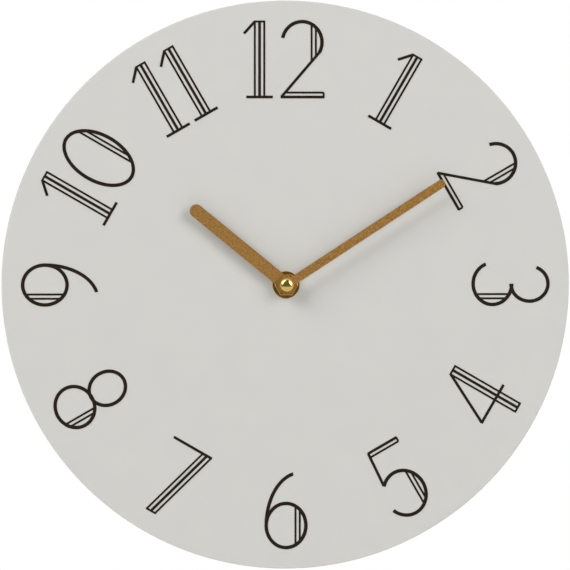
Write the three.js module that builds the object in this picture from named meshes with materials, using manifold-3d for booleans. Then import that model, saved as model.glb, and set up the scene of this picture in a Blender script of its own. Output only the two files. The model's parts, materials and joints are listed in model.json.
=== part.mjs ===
// Round wall clock: a board dial with thin-line figures, two straight hands and a battery quartz movement.
// Millimetres, +Z up. The wall is the plane y = 0, the dial faces -Y and the hands turn on the line x = z = 0.
// A depth is measured from the wall towards the viewer, so depth d lies at y = -d.
import * as THREE from 'three';
import { mergeVertices } from 'three/addons/utils/BufferGeometryUtils.js';
import Module from 'manifold-3d';

const wasm = await Module();
wasm.setup();

// Dial
const dialDiameter = 300;
const boardThickness = 5;
const sheetThickness = 0.3;
const figureThickness = 0.15;
const figureHeight = 41;
const figureWidth = 25;
const figureSpacing = 3;
const figureMargin = 31;
const figureCurve = 1.85;
const figureStroke = 1.45;
const figureHairline = 1.05;

// Hands and the fittings at the hub
const hourHandLength = 65;
const hourHandWidth = 7;
const hourBossDiameter = 10.3;
const hourHandRise = 4.8;
const minuteHandLength = 99.6;
const minuteHandWidth = 4.6;
const minuteBossDiameter = 9;
const minuteHandRise = 7.4;
const handThickness = 0.5;
const hourHandAngle = 309.34;
const minuteHandAngle = 56.83;
const colletWall = 0.7;
const colletFlange = 0.7;
const colletFlangeThickness = 0.7;
const colletLip = 0.3;
const capDiameter = 7.2;
const capHeight = 2.9;
const capSkirt = 0.5;
const washerDiameter = 14.3;
const washerThickness = 0.8;
const nutAcrossFlats = 11;
const nutThickness = 2.5;
const nutChamfer = 0.6;
const bushingRadius = 3.9;
const bushingProud = 0.5;
const bushingFlangeRadius = 6;
const bushingFlangeThickness = 0.8;
const gasketRadius = 12;
const gasketThickness = 1;

// Battery and its contacts
const batteryDiameter = 14.5;
const batteryCanLength = 49.2;
const batteryTipRadius = 2.75;
const batteryTipLength = 1.3;
const batteryInset = 0.5;
const contactThickness = 0.3;
const contactWidth = 4;
const contactFoot = 2;
const contactSpring = 1.9;

// Movement case
const caseWall = 1.2;
const caseCorner = 3;
const coverThickness = 1.5;
const bayWall = 1;
const contactNotch = 1.4;
const pivotBossRadius = 1.4;
const pivotBossHeight = 0.8;
const postRadius = 1.5;
const postInset = 1.4;

// Hanging tab
const tabWidth = 24;
const tabHeight = 18.5;
const tabThickness = 2;
const tabFootThickness = 1.2;
const tabFootDepth = 12;
const nailHeadHole = 8.6;
const nailSlotWidth = 4.6;
const nailHeadHeight = 7;
const nailSlotRun = 5.2;

// Wheels of the movement
const wheelThickness = 0.6;
const pinionOverrun = 0.3;
const arborRadius = 0.5;
const pivotInset = 0.4;
const secondsModule = 0.26;
const trainModule = 0.25;
const thirdPitchDistance = 9;
const motionModule = 0.5;
const minuteWheelThickness = 0.8;
const hourWheelThickness = 1;
const hourHubRadius = 4;
const hourPipeRadius = 2.55;
const hourPipeWall = 0.65;
const minutePipeRadius = 1.7;
const minutePipeBore = 0.8;
const minuteEndRadius = 1.3;
const minuteEndLength = 2;
const spigotRadius = 1.5;
const collarRadius = 2.6;
const collarThickness = 0.6;
const clutchRise = 0.8;
const clutchRadius = 3.6;
const clutchThickness = 0.25;
const ringThickness = 0.4;
const ringRadius = 2.6;
const stemRadius = 1;
const stemPivotRadius = 0.6;
const stemPivotLength = 0.6;
const knobRadius = 5.5;
const knobThickness = 2;
const knobRecess = 0.4;
const knobFloor = 0.8;
const knobGrip = 0.35;
const plateThickness = 1;

// Motor and electronics
const magnetRadius = 2.5;
const magnetThickness = 3;
const magnetSeatRadius = 1.6;
const magnetSeatThickness = 0.3;
const magnetAirGap = 0.4;
const statorRim = 1.3;
const laminationThickness = 0.8;
const coreWidth = 3;
const coilLength = 20;
const windingRadius = 3.1;
const bobbinFlangeRadius = 3.3;
const bobbinFlangeThickness = 0.8;
const bobbinRadius = 2.15;
const bobbinBore = 1.75;
const pillarRadius = 1.2;
const circuitHeight = 6.3;
const circuitThickness = 0.8;
const crystalRadius = 1;
const crystalLength = 6;
const chipRadius = 2;
const chipHeight = 1.1;

// Clearances: between fixed pieces, round shafts, between wheels, and beside the coil
const seatGap = 0.3;
const shaftGap = 0.15;
const layerGap = 0.5;
const slipGap = 0.1;
const coilGap = 0.4;
const knobGap = 0.5;
const cutOverrun = 1;

// Counts of teeth and of the knob's grips
const cannonTeeth = 10;
const minuteWheelTeeth = 30;
const minutePinionTeeth = 8;
const hourWheelTeeth = 32;
const rotorTeeth = 10;
const intermediateTeeth = 50;
const intermediatePinionTeeth = 10;
const secondsTeeth = 60;
const secondsPinionTeeth = 8;
const thirdTeeth = 60;
const thirdPinionTeeth = 8;
const centreTeeth = 64;
const knobGrips = 20;

// Tooth heights above and below the pitch circle, in shares of the module
const addendumShare = 0.8;
const dedendumShare = 1.2;

// Where the wheels stand round the hands' axis, in degrees anticlockwise from +X as seen from the front
const minuteWheelBearing = 160;
const thirdBearing = 90;
const intermediateBearing = 0;
const rotorBearing = 45;

// Sides of the round pieces
const dialSides = 72;
const fineSides = 36;
const roundSides = 24;
const shaftSides = 12;
const cornerSides = 3;
const arcStep = 6;

// Figures: strokes as shares of the figure's width and height, from its middle. A bar runs between two
// points, an arc turns anticlockwise on an ellipse between two angles, and a chord crosses such an ellipse.
const stemPitchShare = 0.1;
const figureShares = {
	0: [['arc', 0, 0, 0.48, 0.485, 0, 360], ['chord', 0, 0, 0.48, 0.485, 0.27], ['chord', 0, 0, 0.48, 0.485, 0.36]],
	1: [
		['stem', 0, 0.485, 0, -0.485],
		['bar', -0.28, -0.485, 0.28, -0.485],
		['bar', -0.33, 0.33, -0.1, 0.485],
	],
	2: [
		['arc', 0, 0.22, 0.42, 0.265, -30, 168],
		['bar', 0.364, 0.088, -0.44, -0.485],
		['bar', -0.455, -0.485, 0.47, -0.485],
		['hair', -0.36, -0.428, 0.455, -0.428],
		['hair', 0.455, -0.428, 0.455, -0.485],
		['chord', 0, 0.22, 0.42, 0.265, 0.2],
		['chord', 0, 0.22, 0.42, 0.265, 0.29],
	],
	3: [
		['arc', -0.02, 0.245, 0.37, 0.24, -90, 158],
		['arc', -0.02, -0.235, 0.44, 0.25, -160, 90],
		['chord', -0.02, -0.235, 0.44, 0.25, 0.2],
		['chord', -0.02, -0.235, 0.44, 0.25, 0.29],
	],
	4: [
		['stem', 0.2, 0.485, 0.2, -0.485],
		['bar', 0.105, 0.485, -0.455, -0.18],
		['bar', -0.47, -0.18, 0.47, -0.18],
	],
	5: [
		['bar', -0.29, 0.485, 0.42, 0.485],
		['hair', -0.29, 0.428, 0.405, 0.428],
		['hair', 0.405, 0.485, 0.405, 0.428],
		['bar', -0.28, 0.485, -0.335, 0.02],
		['arc', -0.02, -0.19, 0.44, 0.295, -155, 136],
		['chord', -0.02, -0.19, 0.44, 0.295, 0.22],
		['chord', -0.02, -0.19, 0.44, 0.295, 0.31],
	],
	6: [
		['arc', 0, -0.2, 0.42, 0.285, 0, 360],
		['arc', 0.3, -0.2, 0.72, 0.68, 102, 180],
		['chord', 0, -0.2, 0.42, 0.285, 0.2],
		['chord', 0, -0.2, 0.42, 0.285, 0.29],
	],
	7: [
		['bar', -0.45, 0.485, 0.47, 0.485],
		['stem', 0.36, 0.485, -0.09, -0.485],
	],
	8: [
		['arc', 0, 0.245, 0.35, 0.24, 0, 360],
		['arc', 0, -0.235, 0.44, 0.25, 0, 360],
		['chord', 0, -0.235, 0.44, 0.25, 0.22],
		['chord', 0, -0.235, 0.44, 0.25, 0.31],
	],
	9: [
		['arc', 0, 0.2, 0.42, 0.285, 0, 360],
		['arc', -0.3, 0.2, 0.72, 0.68, -78, 0],
		['chord', 0, 0.2, 0.42, 0.285, -0.2],
		['chord', 0, 0.2, 0.42, 0.285, -0.29],
	],
};
const narrowFigureShare = 0.56;
const figureNames = ['zero', 'one', 'two', 'three', 'four', 'five', 'six', 'seven', 'eight', 'nine'];
const hours = 12;
const lowerHours = [4, 5, 6, 7, 8];

// Finishes
const finishes = {
	dialPaper: { color: 0xd1d0cc, roughness: 0.85, metalness: 0 },
	fibreboard: { color: 0xa58a66, roughness: 0.9, metalness: 0 },
	ink: { color: 0x26201c, roughness: 0.6, metalness: 0 },
	bronzePaint: { color: 0x96703d, roughness: 0.5, metalness: 0.6 },
	polishedBrass: { color: 0xc9a352, roughness: 0.12, metalness: 1 },
	turnedBrass: { color: 0x9a783a, roughness: 0.3, metalness: 1 },
	blackPlastic: { color: 0x1d1d1f, roughness: 0.55, metalness: 0 },
	whitePlastic: { color: 0xe6e4dd, roughness: 0.45, metalness: 0 },
	blackRubber: { color: 0x161616, roughness: 0.9, metalness: 0 },
	steel: { color: 0xb4b6b8, roughness: 0.35, metalness: 1 },
	magnet: { color: 0x3c3d40, roughness: 0.4, metalness: 0.8 },
	copper: { color: 0xb06a3c, roughness: 0.35, metalness: 1 },
	circuit: { color: 0x7a5a26, roughness: 0.5, metalness: 0 },
	resin: { color: 0x0f0f10, roughness: 0.35, metalness: 0 },
	batterySleeve: { color: 0x2c4f86, roughness: 0.35, metalness: 0.2 },
};

const clock = new THREE.Group();
const turn = Math.PI / 180;

// A closed solid from a closed mesh, with its faces turned outwards.
function solidOf(geometry) {
	geometry.deleteAttribute('normal');
	geometry.deleteAttribute('uv');
	const merged = mergeVertices(geometry);
	const corners = merged.getAttribute('position').array;
	const index = merged.getIndex().array;
	const faces = [];
	for (let i = 0; i < index.length; i += 3) {
		const [a, b, c] = [index[i], index[i + 1], index[i + 2]];
		if (a !== b && b !== c && c !== a) {
			faces.push(a, b, c);
		}
	}
	if (signedVolume(corners, faces) < 0) {
		faces.reverse();
	}
	const triVerts = new Uint32Array(faces);
	const vertProperties = new Float32Array(corners);
	return new wasm.Manifold(new wasm.Mesh({ numProp: 3, vertProperties, triVerts }));
}

function signedVolume(corners, faces) {
	const [a, b, c] = [new THREE.Vector3(), new THREE.Vector3(), new THREE.Vector3()];
	let sixfold = 0;
	for (let i = 0; i < faces.length; i += 3) {
		a.fromArray(corners, 3 * faces[i]);
		b.fromArray(corners, 3 * faces[i + 1]);
		c.fromArray(corners, 3 * faces[i + 2]);
		sixfold += a.dot(b.cross(c));
	}
	return sixfold / 6;
}

// A named mesh in the clock, placed at x, z and a depth, turned clockwise as seen from the front.
function addPiece(name, solid, finish, place = {}) {
	const { vertProperties, triVerts } = solid.getMesh();
	const geometry = new THREE.BufferGeometry();
	geometry.setAttribute('position', new THREE.BufferAttribute(new Float32Array(vertProperties), 3));
	geometry.setIndex(new THREE.BufferAttribute(new Uint32Array(triVerts), 1));
	const mesh = new THREE.Mesh(geometry, new THREE.MeshStandardMaterial(finishes[finish]));
	mesh.name = name;
	mesh.position.set(place.x ?? 0, -(place.depth ?? 0), place.z ?? 0);
	mesh.rotation.y = place.clockwise ?? 0;
	(place.group ?? clock).add(mesh);
	return mesh;
}

// A flat outline, drawn as seen from the front, from one depth to another.
function plate(shape, rear, front, curveSegments = cornerSides) {
	const geometry = new THREE.ExtrudeGeometry(shape, { depth: front - rear, bevelEnabled: false, curveSegments });
	geometry.translate(0, 0, rear);
	geometry.rotateX(Math.PI / 2);
	return solidOf(geometry);
}

// A ring or disc turned about the depth axis, from a profile of [radius, depth] points.
function turned(profile, sides = roundSides) {
	const points = profile.map(([radius, depth]) => new THREE.Vector2(radius, -depth));
	return solidOf(new THREE.LatheGeometry(points, sides));
}

function disc(radius, rear, front, sides) {
	return turned([[0, rear], [radius, rear], [radius, front], [0, front]], sides);
}

function ring(bore, radius, rear, front, sides) {
	return turned([[bore, rear], [radius, rear], [radius, front], [bore, front], [bore, rear]], sides);
}

function box(left, right, bottom, top, rear, front) {
	const geometry = new THREE.BoxGeometry(right - left, front - rear, top - bottom);
	geometry.translate((left + right) / 2, -(rear + front) / 2, (bottom + top) / 2);
	return solidOf(geometry);
}

function moved(solid, x, z) {
	return solid.translate([x, 0, z]);
}

function roundedRectangle(left, right, bottom, top, corner) {
	const shape = new THREE.Shape();
	shape.absarc(right - corner, bottom + corner, corner, -Math.PI / 2, 0);
	shape.absarc(right - corner, top - corner, corner, 0, Math.PI / 2);
	shape.absarc(left + corner, top - corner, corner, Math.PI / 2, Math.PI);
	shape.absarc(left + corner, bottom + corner, corner, Math.PI, 3 * Math.PI / 2);
	shape.closePath();
	return shape;
}

// A disc with plain pointed teeth about the depth axis, one tooth on +X.
function toothed(teeth, gearModule, rear, front) {
	const pitchRadius = teeth * gearModule / 2;
	const root = pitchRadius - dedendumShare * gearModule;
	const tip = pitchRadius + addendumShare * gearModule;
	return plate(starShape(teeth, tip, root), rear, front);
}

function starShape(points, outer, inner) {
	const outline = [];
	for (let corner = 0; corner < 2 * points; corner++) {
		const radius = corner % 2 ? inner : outer;
		const angle = Math.PI * corner / points;
		outline.push(new THREE.Vector2(radius * Math.cos(angle), radius * Math.sin(angle)));
	}
	return new THREE.Shape(outline);
}

// The angle that sets a tooth gap of the driven wheel on a tooth of its driver.
function meshAngle(bearing, driverAngle, driverTeeth, drivenTeeth) {
	const toothPhase = (bearing - driverAngle) * driverTeeth / (2 * Math.PI);
	return bearing + Math.PI - (1 / 2 - toothPhase) * 2 * Math.PI / drivenTeeth;
}

function pitchDistance(teeth, otherTeeth, gearModule) {
	return (teeth + otherTeeth) * gearModule / 2;
}

// Depths of the layers, from the wall to the dial
const knobFront = knobRecess + knobThickness;
const secondsRear = knobFront + layerGap;
const secondsFront = secondsRear + wheelThickness;
const intermediateRear = secondsFront + layerGap;
const intermediateFront = intermediateRear + wheelThickness;
const thirdRear = intermediateFront + layerGap;
const thirdFront = thirdRear + wheelThickness;
const secondsPinionFront = thirdFront + pinionOverrun;
const ringRear = secondsPinionFront + coilGap;
const ringFront = ringRear + ringThickness;
const centreRear = ringFront + slipGap;
const centreFront = centreRear + wheelThickness;
const collarRear = centreFront + slipGap + clutchRise + slipGap;
const collarFront = collarRear + collarThickness;
const magnetRear = intermediateFront + pinionOverrun + magnetSeatThickness;
const magnetFront = magnetRear + magnetThickness;
const plateRear = Math.max(collarFront, magnetFront) + layerGap;
const plateFront = plateRear + plateThickness;
const cannonRear = plateFront + layerGap;
const minuteWheelRear = cannonRear + pinionOverrun;
const minuteWheelFront = minuteWheelRear + minuteWheelThickness;
const cannonFront = minuteWheelFront + pinionOverrun;
const hourWheelRear = cannonFront + layerGap;
const hourWheelFront = hourWheelRear + hourWheelThickness;
const batteryFront = batteryInset + batteryDiameter;
const frontWallRear = Math.max(batteryFront + seatGap, hourWheelFront + layerGap);
const caseFront = frontWallRear + caseWall;
const boardRear = caseFront + gasketThickness;
const boardFront = boardRear + boardThickness;
const dialFace = boardFront + sheetThickness;
const figureRadius = dialDiameter / 2 - figureMargin;
const washerFront = dialFace + washerThickness;
const nutFront = washerFront + nutThickness;
const bushingFront = nutFront + bushingProud;
const hourHandRear = dialFace + hourHandRise;
const hourHandFront = hourHandRear + handThickness;
const minuteHandRear = dialFace + minuteHandRise;
const minuteHandFront = minuteHandRear + handThickness;

// Places of the arbors
const centre = { x: 0, z: 0 };
const minuteWheelPlace = placeFrom(centre, minuteWheelBearing, pitchDistance(cannonTeeth, minuteWheelTeeth, motionModule));
const thirdPlace = placeFrom(centre, thirdBearing, thirdPitchDistance);
const intermediateDistance = pitchDistance(secondsTeeth, intermediatePinionTeeth, secondsModule);
const intermediatePlace = placeFrom(centre, intermediateBearing, intermediateDistance);
const rotorDistance = pitchDistance(rotorTeeth, intermediateTeeth, trainModule);
const rotorPlace = placeFrom(intermediatePlace, rotorBearing, rotorDistance);
const thirdInModule = 2 * thirdPitchDistance / (secondsPinionTeeth + thirdTeeth);
const thirdOutModule = 2 * thirdPitchDistance / (thirdPinionTeeth + centreTeeth);

// Coil and stator beside the rotor
const statorHalf = magnetRadius + magnetAirGap + statorRim;
const statorLeft = rotorPlace.x - statorHalf;
const statorRight = rotorPlace.x + statorHalf;
const coilX = statorRight + coilGap + bobbinFlangeRadius;
const bobbinHalf = coilLength / 2 + bobbinFlangeThickness;
const armInner = bobbinHalf + coilGap;
const armOuter = armInner + coreWidth;
const statorRear = (magnetRear + magnetFront - laminationThickness) / 2;
const statorFront = statorRear + laminationThickness;
const coreRear = statorRear - laminationThickness;
const coilDepth = (coreRear + statorRear) / 2;

// Outline of the case: square, with room for its battery bay, for the coil with a contact beside it, and for
// the bay below the stator's lower arm
const batteryRadius = batteryDiameter / 2;
const batteryLength = batteryCanLength + batteryTipLength;
const bayLength = batteryLength + 2 * contactThickness + contactSpring + 2 * seatGap;
const bayHeight = batteryDiameter + 2 * seatGap + bayWall;
const motorReach = coilX + bobbinFlangeRadius + coilGap + contactThickness;
const motorDrop = armOuter - rotorPlace.z + seatGap;
const roomHalf = Math.max(bayLength / 2, motorReach, motorDrop + bayHeight);
const caseHalf = roomHalf + caseWall;
const innerCorner = caseCorner - caseWall;
const batteryZ = seatGap + batteryRadius - roomHalf;
const batteryTipX = roomHalf - contactThickness - seatGap;
const batteryShoulderX = batteryTipX - batteryTipLength;
const batteryEndX = batteryShoulderX - batteryCanLength;
const roomBottom = bayHeight - roomHalf;
const bayTop = roomBottom - bayWall;

// Circuit board above the coil, and the plate that holds the train
const circuitTop = roomHalf - coilGap;
const circuitBottom = circuitTop - circuitHeight;
const circuitHalf = roomHalf - contactThickness - seatGap;
const circuitRear = plateRear - circuitThickness;
const trainPlateRight = statorRight - seatGap;

function placeFrom(start, bearing, distance) {
	return {
		x: start.x + distance * Math.cos(bearing * turn),
		z: start.z + distance * Math.sin(bearing * turn),
	};
}

function addDial() {
	const hole = bushingRadius + seatGap;
	addPiece('dial_board', ring(hole, dialDiameter / 2, 0, boardThickness, dialSides), 'fibreboard', { depth: boardRear });
	addPiece('dial_sheet', ring(hole, dialDiameter / 2, 0, sheetThickness, dialSides), 'dialPaper', { depth: boardFront });
	const gasketHole = bushingFlangeRadius + seatGap;
	addPiece('gasket', ring(gasketHole, gasketRadius, 0, gasketThickness, fineSides), 'blackRubber', { depth: caseFront });
}

function straightStroke(x0, z0, x1, z1, width) {
	const along = new THREE.Vector2(x1 - x0, z1 - z0).setLength(width / 2);
	const across = new THREE.Vector2(-along.y, along.x);
	const corners = [[x0, z0, 1], [x1, z1, 1], [x1, z1, -1], [x0, z0, -1]];
	const outline = corners.map(([x, z, side]) => new THREE.Vector2(x + side * across.x, z + side * across.y));
	return plate(new THREE.Shape(outline.reverse()), 0, figureThickness);
}

function arcStroke(x, z, radiusX, radiusZ, from, to, width) {
	const steps = Math.ceil((to - from) / arcStep);
	const whole = to - from === 360;
	const run = (grow, reverse) => {
		const points = [];
		for (let step = 0; step < steps + (whole ? 0 : 1); step++) {
			const angle = (from + (to - from) * step / steps) * turn;
			const px = x + (radiusX + grow) * Math.cos(angle);
			points.push(new THREE.Vector2(px, z + (radiusZ + grow) * Math.sin(angle)));
		}
		return reverse ? points.reverse() : points;
	};
	if (whole) {
		const shape = new THREE.Shape(run(width / 2, false));
		shape.holes.push(new THREE.Path(run(-width / 2, true)));
		return plate(shape, 0, figureThickness);
	}
	return plate(new THREE.Shape([...run(width / 2, false), ...run(-width / 2, true)]), 0, figureThickness);
}

function chordStroke(x, z, radiusX, radiusZ, at) {
	const half = radiusZ * Math.sqrt(1 - ((at - x) / radiusX) ** 2);
	return straightStroke(at, z - half, at, z + half, figureHairline);
}

// Three parallel lines, the middle one heavier, closed across both ends.
function stemStroke(x0, z0, x1, z1) {
	const pitch = stemPitchShare * figureWidth;
	const reach = pitch + figureHairline / 2;
	return [
		straightStroke(x0, z0, x1, z1, figureStroke),
		straightStroke(x0 - pitch, z0, x1 - pitch, z1, figureHairline),
		straightStroke(x0 + pitch, z0, x1 + pitch, z1, figureHairline),
		straightStroke(x0 - reach, z0, x0 + reach, z0, figureHairline),
		straightStroke(x1 - reach, z1, x1 + reach, z1, figureHairline),
	];
}

function strokeSolids([kind, ...shares]) {
	const [w, h] = [figureWidth, figureHeight];
	const [a, b, c, d, e, f] = shares;
	switch (kind) {
		case 'bar': return [straightStroke(a * w, b * h, c * w, d * h, figureStroke)];
		case 'hair': return [straightStroke(a * w, b * h, c * w, d * h, figureHairline)];
		case 'stem': return stemStroke(a * w, b * h, c * w, d * h);
		case 'arc': return [arcStroke(a * w, b * h, c * w, d * h, e, f, figureCurve)];
		default: return [chordStroke(a * w, b * h, c * w, d * h, e * w)];
	}
}

function figureSolid(digit) {
	const strokes = figureShares[digit].flatMap(strokeSolids);
	return strokes.reduce((whole, stroke) => whole.add(stroke));
}

// Figures stand with their tops outwards, and in the lower half with their tops towards the middle.
function addFigures() {
	for (let hour = 1; hour <= hours; hour++) {
		const digits = [...String(hour)].map(Number);
		const widths = digits.map((digit) => figureWidth * (digit === 1 ? narrowFigureShare : 1));
		const total = widths.reduce((sum, width) => sum + width) + figureSpacing * (digits.length - 1);
		const hourGroup = new THREE.Group();
		hourGroup.rotation.y = 2 * Math.PI * hour / hours;
		const figure = new THREE.Group();
		figure.position.set(0, -dialFace, figureRadius);
		figure.rotation.y = lowerHours.includes(hour) ? Math.PI : 0;
		hourGroup.add(figure);
		clock.add(hourGroup);
		let left = -total / 2;
		digits.forEach((digit, place) => {
			const name = `figure_${hour}_${figureNames[digit]}${hour === 11 ? `_${place + 1}` : ''}`;
			addPiece(name, figureSolid(digit), 'ink', { group: figure, x: left + widths[place] / 2 });
			left += widths[place] + figureSpacing;
		});
	}
}

// Hands are drawn pointing up, round at the tip and at the boss, from their own rear face.
function handSolid(length, width, bossDiameter, bore) {
	const half = width / 2;
	const outline = new THREE.Shape();
	const bossAngle = Math.acos(half / (bossDiameter / 2));
	outline.absarc(0, 0, bossDiameter / 2, Math.PI - bossAngle, 2 * Math.PI + bossAngle);
	outline.absarc(0, length - half, half, 0, Math.PI);
	outline.closePath();
	const hole = new THREE.Path();
	hole.absarc(0, 0, bore, 0, 2 * Math.PI, true);
	outline.holes.push(hole);
	return plate(outline, 0, handThickness, roundSides / 2);
}

function addHands() {
	const collet = hourPipeRadius + shaftGap + colletWall;
	const hour = { clockwise: hourHandAngle * turn };
	const hourHand = handSolid(hourHandLength, hourHandWidth, hourBossDiameter, collet + shaftGap);
	addPiece('hour_hand', hourHand, 'bronzePaint', { ...hour, depth: hourHandRear });
	const colletRear = hourHandRear - colletFlangeThickness;
	const colletFront = hourHandFront + colletLip;
	const bore = hourPipeRadius + shaftGap;
	const flange = collet + colletFlange;
	const colletProfile = [
		[bore, colletRear],
		[flange, colletRear],
		[flange, hourHandRear],
		[collet, hourHandRear],
		[collet, colletFront],
		[bore, colletFront],
		[bore, colletRear],
	];
	addPiece('hour_hand_collet', turned(colletProfile), 'turnedBrass', hour);
	const minute = { clockwise: minuteHandAngle * turn };
	const minuteBore = minuteEndRadius + shaftGap;
	const minuteHand = handSolid(minuteHandLength, minuteHandWidth, minuteBossDiameter, minuteBore);
	addPiece('minute_hand', minuteHand, 'bronzePaint', { ...minute, depth: minuteHandRear });
	addPiece('cap_nut', capSolid(), 'polishedBrass', { ...minute, depth: minuteHandFront });
}

// Domed nut from its own rear face: a short straight skirt, a quarter round and a blind hole for the pipe's end.
function capSolid() {
	const radius = capDiameter / 2;
	const holeRadius = minuteEndRadius + shaftGap;
	const holeDepth = minuteEndLength - handThickness + shaftGap;
	const profile = [[0, holeDepth], [holeRadius, holeDepth], [holeRadius, 0], [radius, 0]];
	const steps = 6;
	for (let step = 0; step <= steps; step++) {
		const angle = Math.PI / 2 * step / steps;
		const height = capSkirt + (capHeight - capSkirt) * Math.sin(angle);
		profile.push([step === steps ? 0 : radius * Math.cos(angle), height]);
	}
	return turned(profile);
}

function addHubFittings() {
	const bore = bushingRadius + shaftGap;
	const washer = ring(bore, washerDiameter / 2, 0, washerThickness, fineSides);
	addPiece('face_washer', washer, 'turnedBrass', { depth: dialFace });
	addPiece('hex_nut', hexNut(bore), 'turnedBrass', { depth: washerFront });
	const pipeBore = hourPipeRadius + 2 * shaftGap;
	const flangeFront = caseFront + bushingFlangeThickness;
	const bushingProfile = [
		[pipeBore, frontWallRear],
		[bushingRadius, frontWallRear],
		[bushingRadius, caseFront],
		[bushingFlangeRadius, caseFront],
		[bushingFlangeRadius, flangeFront],
		[bushingRadius, flangeFront],
		[bushingRadius, bushingFront],
		[pipeBore, bushingFront],
		[pipeBore, frontWallRear],
	];
	addPiece('threaded_bushing', turned(bushingProfile), 'turnedBrass');
}

// Hexagon with flats above and below, its front corners turned off in a cone.
function hexNut(bore) {
	const corner = nutAcrossFlats / 2 / Math.cos(Math.PI / 6);
	const outline = [];
	for (let side = 0; side < 6; side++) {
		const angle = side * Math.PI / 3;
		outline.push(new THREE.Vector2(corner * Math.cos(angle), corner * Math.sin(angle)));
	}
	const coneRim = nutAcrossFlats / 2;
	const coneFoot = coneRim + nutChamfer * 2;
	const envelope = turned([
		[0, -cutOverrun],
		[coneFoot, -cutOverrun],
		[coneFoot, nutThickness - nutChamfer],
		[coneRim, nutThickness],
		[0, nutThickness],
	], fineSides);
	const hole = disc(bore, -cutOverrun, nutThickness + cutOverrun);
	return plate(new THREE.Shape(outline), 0, nutThickness).intersect(envelope).subtract(hole);
}

function addCase() {
	const outer = plate(roundedRectangle(-caseHalf, caseHalf, -caseHalf, caseHalf, caseCorner), coverThickness, caseFront);
	const room = roundedRectangle(-roomHalf, roomHalf, -roomHalf, roomHalf, innerCorner);
	let shell = outer.subtract(plate(room, coverThickness - cutOverrun, frontWallRear));
	const wallHalf = roomHalf - contactNotch;
	shell = shell.add(box(-wallHalf, wallHalf, bayTop, roomBottom, coverThickness, frontWallRear + caseWall / 2));
	for (const { x, z } of postPlaces()) {
		shell = shell.add(moved(disc(postRadius, plateFront, frontWallRear + caseWall / 2, shaftSides), x, z));
	}
	shell = shell.subtract(disc(bushingRadius + shaftGap, frontWallRear - cutOverrun, caseFront + cutOverrun));
	const pivot = disc(stemPivotRadius + shaftGap, frontWallRear - cutOverrun, frontWallRear + stemPivotLength, shaftSides);
	shell = shell.subtract(moved(pivot, minuteWheelPlace.x, minuteWheelPlace.z));
	addPiece('front_case', shell, 'blackPlastic');
}

// Posts at the corners of the train plate.
function postPlaces() {
	const inset = postRadius + postInset;
	const sides = [seatGap - roomHalf + inset, trainPlateRight - inset];
	const levels = [roomBottom + inset, roomHalf - inset];
	return sides.flatMap((x) => levels.map((z) => ({ x, z })));
}

function addCover() {
	const outline = roundedRectangle(-caseHalf, caseHalf, -caseHalf, caseHalf, caseCorner);
	let cover = plate(outline, 0, coverThickness);
	const bay = box(
		batteryEndX - seatGap, batteryTipX + seatGap,
		batteryZ - batteryRadius - slipGap, batteryZ + batteryRadius + slipGap,
		-cutOverrun, coverThickness + cutOverrun,
	);
	cover = cover.subtract(bay);
	const knobHole = disc(knobRadius + knobGap, -cutOverrun, coverThickness + cutOverrun, fineSides);
	cover = cover.subtract(moved(knobHole, minuteWheelPlace.x, minuteWheelPlace.z));
	const bossFront = coverThickness + pivotBossHeight;
	const bossRear = coverThickness / 2;
	for (const { x, z } of [centre, thirdPlace, intermediatePlace, rotorPlace]) {
		cover = cover.add(moved(disc(pivotBossRadius, bossRear, bossFront, shaftSides), x, z));
		const pivot = disc(arborRadius + shaftGap, bossRear, bossFront + cutOverrun, shaftSides);
		cover = cover.subtract(moved(pivot, x, z));
	}
	addPiece('rear_cover', cover, 'blackPlastic');
}

// Tab above the case, flush with its back: a keyhole for the nail and a foot that lies on the case.
function addHangingTab() {
	const [half, bottom] = [tabWidth / 2, caseHalf];
	const top = bottom + tabHeight;
	const tab = plate(roundedRectangle(-half, half, bottom, top, caseCorner), 0, tabThickness);
	const foot = box(-half, half, bottom, bottom + tabFootThickness, 0, tabFootDepth);
	const headZ = bottom + nailHeadHeight;
	const slotTop = headZ + nailSlotRun;
	const through = [-cutOverrun, tabThickness + cutOverrun];
	const head = moved(disc(nailHeadHole / 2, ...through), 0, headZ);
	const slotEnd = moved(disc(nailSlotWidth / 2, ...through, shaftSides), 0, slotTop);
	const slot = box(-nailSlotWidth / 2, nailSlotWidth / 2, headZ, slotTop, ...through);
	addPiece('hanging_tab', tab.add(foot).subtract(head.add(slot).add(slotEnd)), 'blackPlastic');
}

function addTrainPlate() {
	const left = seatGap - roomHalf;
	const [bottom, top] = [roomBottom + seatGap, roomHalf - seatGap];
	let solid = plate(roundedRectangle(left, trainPlateRight, bottom, top, innerCorner), plateRear, plateFront);
	const holes = [
		[centre, spigotRadius + shaftGap],
		[minuteWheelPlace, stemRadius + shaftGap],
		[thirdPlace, arborRadius + shaftGap],
		[intermediatePlace, arborRadius + shaftGap],
		[rotorPlace, arborRadius + shaftGap],
	];
	for (const [{ x, z }, radius] of holes) {
		const hole = disc(radius, plateRear - cutOverrun, plateFront + cutOverrun, shaftSides);
		solid = solid.subtract(moved(hole, x, z));
	}
	const pillarX = statorLeft + pillarRadius + seatGap;
	for (const side of [-1, 1]) {
		const pillarZ = rotorPlace.z + side * (armOuter - pillarRadius - seatGap);
		const pillar = disc(pillarRadius, statorFront, plateRear + plateThickness / 2, shaftSides);
		solid = solid.add(moved(pillar, pillarX, pillarZ));
	}
	addPiece('train_plate', solid, 'whitePlastic');
}

function arbor(rear, front, radius = arborRadius) {
	return disc(radius, rear, front, shaftSides);
}

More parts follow.
